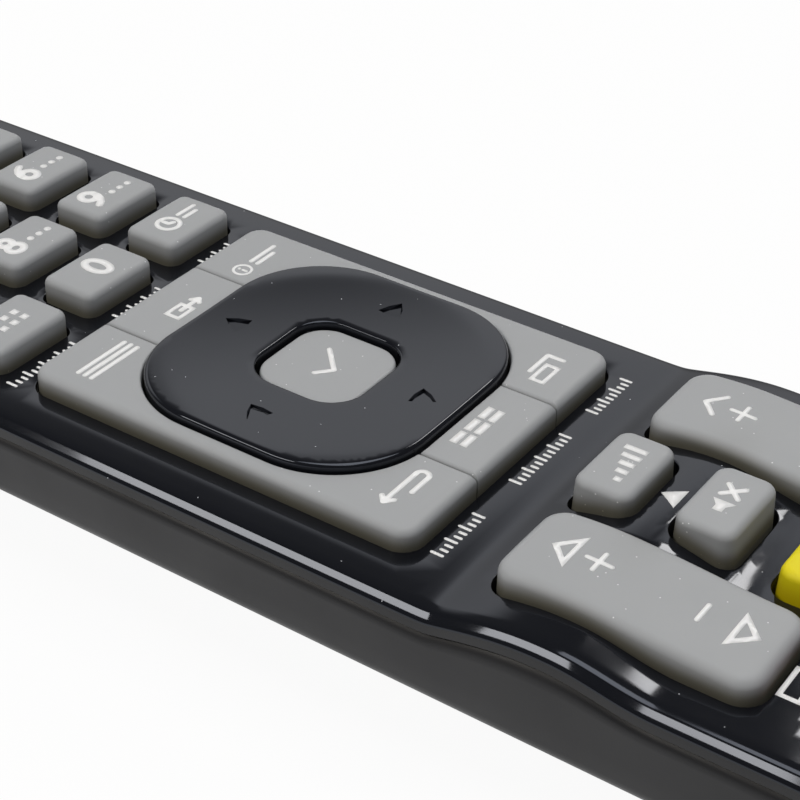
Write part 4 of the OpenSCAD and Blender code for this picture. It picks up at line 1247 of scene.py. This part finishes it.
# %% Signs on the field keys
speaker = solid((-2.2, -0.5), (-1.4, -0.5), (-0.5, -1.2), (-0.5, 1.2), (-1.4, 0.5), (-2.2, 0.5))
SIGNS = {
    "apps_key": [box(x, y, x + 0.9, y + 0.9) for x in (-2.0, -0.45, 1.1) for y in (-1.2, 0.3)],
    "timer_key": [hoop(-1.6, 0, 1.35, 1.35), stroke((-1.6, 0), (-1.6, 0.8)), stroke((-1.6, 0), (-1.0, -0.3)),
                  stroke((0.7, 0.5), (3.6, 0.5)), stroke((0.7, -0.5), (2.8, -0.5))],
    "list_key": [m for y in (-1.1, 0, 1.1) for m in (disc(-2.1, y, 0.32), stroke((-1.2, y), (2.3, y)))],
    "page_key": [frame_mark(-1.9, -1.3, 0.5, 0.7), stroke((-0.9, 1.3), (1.6, 1.3)),
                 stroke((1.6, 1.3), (1.6, -0.6))],
    "return_key": [stroke((-1.9, 0.4), (1.2, 0.4)), pen(arc(1.2, -0.4, 0.8, 0.8, 90, -90)),
                   stroke((1.2, -1.2), (-0.6, -1.2)), stroke((-1.9, 0.4), (-1.0, 1.2)),
                   stroke((-1.9, 0.4), (-1.0, -0.4))],
    "power_key": [pen(arc(0, -0.15, 1.35, 1.35, 120, 420, 26)), stroke((0, 0.3), (0, 1.6))],
    "input_key": [stroke((-0.4, 1.2), (2.0, 1.2), (2.0, -1.2), (-0.4, -1.2)), stroke((-2.2, 0), (0.7, 0)),
                  stroke((0.7, 0), (-0.1, 0.7)), stroke((0.7, 0), (-0.1, -0.7))],
    "rewind_key": [solid((0, -1.2), (0, 1.2), (-1.9, 0)), solid((2.0, -1.2), (2.0, 1.2), (0.1, 0))],
    "play_key": [solid((-1.0, -1.4), (1.4, 0), (-1.0, 1.4))],
    "forward_key": [solid((-2.0, -1.2), (-0.1, 0), (-2.0, 1.2)), solid((0, -1.2), (1.9, 0), (0, 1.2))],
    "record_key": [disc(0, 0, 1.2)],
    "stop_key": [box(-1.15, -1.15, 1.15, 1.15)],
    "pause_key": [box(x, -1.2, x + 0.75, 1.2) for x in (-1.1, 0.35)],
    "sound_key": [box(x, -1.1, x + 0.7, h - 1.1)
                  for x, h in zip((-3.2, -1.9, -0.6, 0.7, 2.0), (0.8, 1.3, 1.7, 2.1, 2.5))],
    "mute_key": [speaker, stroke((0.4, -0.9), (2.2, 0.9)), stroke((0.4, 0.9), (2.2, -0.9))],
    "confirm_key": [stroke((-2.0, 0.3), (-0.4, -1.1)), stroke((-0.4, -1.1), (2.6, 1.7))],
}
for node, marks in SIGNS.items():
    print_marks("ink_" + node, moved(marks, *places[node]), tops[node], node)
print("signs printed:", len(SIGNS))

# %% [markdown]
# ### Signs on the block and the rockers
#
# These signs stand where a thumb finds them: near the block's outer edge, and at both ends of a rocker.
# A block key's outline has no simple middle, so their places are measured from the ring's centre.

# %% Signs on the key block and the rockers
THIN = 0.5   # pen for plus and minus
BLOCK_SIGNS = {
    "menu_key": [stroke((-16.6, y), (-9.4, y)) for y in (18.2, 19.1, 20.0)],
    "source_key": [frame_mark(-2.6, 18.2, 0.4, 20.4), stroke((-0.9, 19.3), (2.2, 19.3)),
                   stroke((2.2, 19.3), (1.5, 19.9)), stroke((2.2, 19.3), (1.5, 18.7))],
    "info_key": [hoop(9.9, 19.3, 1.05, 1.05, 0.34), disc(9.9, 19.75, 0.2),
                 stroke((9.9, 19.25), (9.9, 18.75), width=0.34),
                 stroke((12.0, 19.7), (16.2, 19.7)), stroke((12.0, 18.8), (14.9, 18.8))],
    "exit_key": [stroke((-16.2, -18.5), (-10.6, -18.5)), pen(arc(-10.6, -19.2, 0.7, 0.7, 90, -90)),
                 stroke((-10.6, -19.9), (-13.4, -19.9)), stroke((-16.2, -18.5), (-15.4, -17.8)),
                 stroke((-16.2, -18.5), (-15.4, -19.2))],
    "guide_key": [box(x, y, x + 2.2, y + 0.85) for x in (-4.2, -1.6, 1.0) for y in (-20.1, -18.9)],
    "view_key": [frame_mark(9.9, -20.5, 13.6, -18.6), stroke((11.3, -18.0), (15.0, -18.0)),
                 stroke((15.0, -18.0), (15.0, -19.9))],
    "volume_rocker": [stroke((-15.6, -51.5), (-13.2, -51.5), width=THIN),
                      stroke((-15.7, -41.0), (-13.1, -41.0), width=THIN),
                      stroke((-14.4, -42.3), (-14.4, -39.7), width=THIN),
                      solid((-17.0, -38.6), (-11.8, -38.6), (-14.4, -36.0))
                      + solid((-15.7, -38.05), (-13.1, -38.05), (-14.4, -36.85)),
                      solid((-17.0, -54.6), (-14.4, -57.2), (-11.8, -54.6))
                      + solid((-15.7, -55.15), (-14.4, -56.35), (-13.1, -55.15))],
    "channel_rocker": [stroke((12.6, -38.4), (14.4, -36.8)), stroke((14.4, -36.8), (16.2, -38.4)),
                       stroke((13.1, -41.0), (15.7, -41.0), width=THIN),
                       stroke((14.4, -42.3), (14.4, -39.7), width=THIN),
                       stroke((13.2, -51.5), (15.6, -51.5), width=THIN),
                       stroke((12.6, -54.6), (14.4, -56.2)), stroke((14.4, -56.2), (16.2, -54.6))],
}
for node, marks in BLOCK_SIGNS.items():
    print_marks("ink_" + node, moved(marks, 0, RING_Y), tops[node], node)
print("signs on block and rockers:", len(BLOCK_SIGNS))

# %% [markdown]
# ### Small prints
#
# Rows of fine ticks, like a printed scale, and two small signs lie on the cover. The cover's own wave
# lifts them, so they follow it without any fitting.


# %% Small prints on the cover
def scale_row(x0, y, count, pitch=0.8, width=0.36):
    """A row of upright ticks from x0 on, like a printed scale: every third one is tall."""
    heights = [0.6 if k % 3 == 0 else 0.05 for k in range(count)]
    return [stroke((x0 + k * pitch, y - 0.6), (x0 + k * pitch, y + h), width=width)
            for k, h in enumerate(heights)]


COVER_SIGNS = []
for x0, y, count in ((-20.0, 26.5, 13), (-3.4, 26.5, 10), (11.5, 26.5, 7),
                     (-17.5, -25.6, 10), (-3.6, -25.6, 13), (11.4, -25.6, 10)):
    COVER_SIGNS += scale_row(x0, y, count)
COVER_SIGNS += [solid((-1.6, -41.8), (1.6, -41.8), (0.0, -39.6)), frame_mark(-17.4, -62.6, -13.0, -60.2)]
print_marks("ink_top_cover", moved(COVER_SIGNS, 0, RING_Y), over_wave(0), "case")
print("prints on the cover:", len(COVER_SIGNS))

# %% [markdown]
# ## Studio
#
# A white floor, a soft grey room and large soft lamps. The floor is white to the camera by its
# own material, and a share of the light that falls on it is kept, so the remote still has a soft
# shadow.

# %% Floor and room
floor_mesh = bpy.data.meshes.new("studio_floor")
floor_mesh.from_pydata([(-4, -4, 0), (4, -4, 0), (4, 4, 0), (-4, 4, 0)], [], [(0, 1, 2, 3)])
floor = bpy.data.objects.new("studio_floor", floor_mesh)
scene.collection.objects.link(floor)
FLOOR = bpy.data.materials.new("White studio paper")
FLOOR.use_nodes = True
tree = FLOOR.node_tree
tree.nodes.clear()
rays = add(tree, "ShaderNodeLightPath")
seen = add(tree, "ShaderNodeMath", {0: rays.outputs["Is Camera Ray"], 1: rays.outputs["Is Glossy Ray"]},
           operation="MAXIMUM")
share = add(tree, "ShaderNodeMath", {0: seen.outputs[0], 1: 0.94}, operation="MULTIPLY")
paper = add(tree, "ShaderNodeBsdfDiffuse", Color=(0.9, 0.9, 0.9, 1))
glow = add(tree, "ShaderNodeEmission", Color=(1, 1, 1, 1), Strength=1.0)
blend = add(tree, "ShaderNodeMixShader", {0: share.outputs[0], 1: paper.outputs[0], 2: glow.outputs[0]})
add(tree, "ShaderNodeOutputMaterial", {"Surface": blend.outputs[0]})
floor_mesh.materials.append(FLOOR)

world = bpy.data.worlds.new("light_tent")
world.use_nodes = True
tree = world.node_tree
# A white wall stands behind and to the right, under a dim top, and darkens towards its foot. A direction's
# share of wall is its level part against its height, and the wall ends where the direction turns to the
# front or the left. The camera itself sees the room as white.
WHITE, WALL_LIGHT, ROOM_LIGHT = (1, 1, 1, 1), (1.15, 1.15, 1.16, 1), (0.16, 0.16, 0.165, 1)
look = add(tree, "ShaderNodeTexCoord")
part = add(tree, "ShaderNodeSeparateXYZ", {0: look.outputs["Generated"]})
back = add(tree, "ShaderNodeMath", {0: part.outputs["Y"], 1: 0.85}, operation="MULTIPLY")
level = add(tree, "ShaderNodeMath", {0: part.outputs["X"], 1: back.outputs[0]}, operation="MAXIMUM")
level = add(tree, "ShaderNodeMath", {0: level.outputs[0], 1: 0.925}, operation="MULTIPLY")
above = add(tree, "ShaderNodeMath", {0: level.outputs[0], 1: part.outputs["Z"]}, operation="SUBTRACT")
near = add(tree, "ShaderNodeMath", {0: part.outputs["X"], 1: part.outputs["Y"]}, operation="MINIMUM")
shares = []
for value, low, high in ((above.outputs[0], -0.06, 0.10), (near.outputs[0], -0.25, 0.1),
                         (part.outputs["Z"], 0.0, 0.6)):
    step = add(tree, "ShaderNodeMapRange", {"Value": value, "From Min": low, "From Max": high},
               interpolation_type="SMOOTHSTEP")
    shares.append(step.outputs["Result"])
both = add(tree, "ShaderNodeMath", {0: shares[0], 1: shares[1]}, operation="MULTIPLY")
both = add(tree, "ShaderNodeMath", {0: both.outputs[0], 1: shares[2]}, operation="MULTIPLY")
tint = add(tree, "ShaderNodeMix", {"Factor": both.outputs[0], "A": ROOM_LIGHT, "B": WALL_LIGHT},
           data_type="RGBA")
rays = add(tree, "ShaderNodeLightPath")
sky = add(tree, "ShaderNodeMix", {"Factor": rays.outputs["Is Camera Ray"], "A": tint.outputs["Result"],
                                  "B": WHITE}, data_type="RGBA")
tree.links.new(sky.outputs["Result"], tree.nodes["Background"].inputs["Color"])
tree.nodes["Background"].inputs["Strength"].default_value = 1.0
scene.world = world
print("floor and room ready")

# %% [markdown]
# ### Lamps
#
# Two window lamps give the strips of light in the gloss, and a large top lamp lights the keys evenly.
# Area lamps are used because their shape shows in a mirror-like surface, as a real window's does.

# %% Lamps
WARM = (1, 0.95, 0.87)


def soft_lamp(name, towards, distance, size, watts, colour=(1, 1, 1), along=None):
    """A rectangular soft lamp at a distance along a direction from the ring, facing it. Its long side is
    level, or runs as near as it can along a given direction."""
    data = bpy.data.lights.new(name, "AREA")
    data.shape = "RECTANGLE"
    data.size, data.size_y = size
    data.energy = watts
    data.color = colour
    lamp = bpy.data.objects.new(name, data)
    d = np.array(towards, float)
    d /= np.linalg.norm(d)
    across = np.cross((0, 0, 1), d) if along is None else np.array(along) - np.dot(along, d) * d
    across /= np.linalg.norm(across)
    m = np.eye(4)
    m[:3, 0], m[:3, 1], m[:3, 2] = across, np.cross(d, across), d
    m[:3, 3] = np.array([0, RING_Y, PANEL]) * MM + d * distance
    lamp.matrix_world = Matrix(m.tolist())
    scene.collection.objects.link(lamp)


soft_lamp("left_window_lamp", (-0.645, 0.365, 0.648), 0.9, (0.44, 0.16), 2.1, WARM, (0.26, 0.92, -0.27))
soft_lamp("right_window_lamp", (0.67, 0.075, 0.74), 0.9, (0.125, 0.15), 0.7, WARM)
soft_lamp("top_lamp", (0.0, -0.15, 0.99), 1.0, (0.8, 0.8), 6.1)
scene.view_settings.view_transform = "Standard"
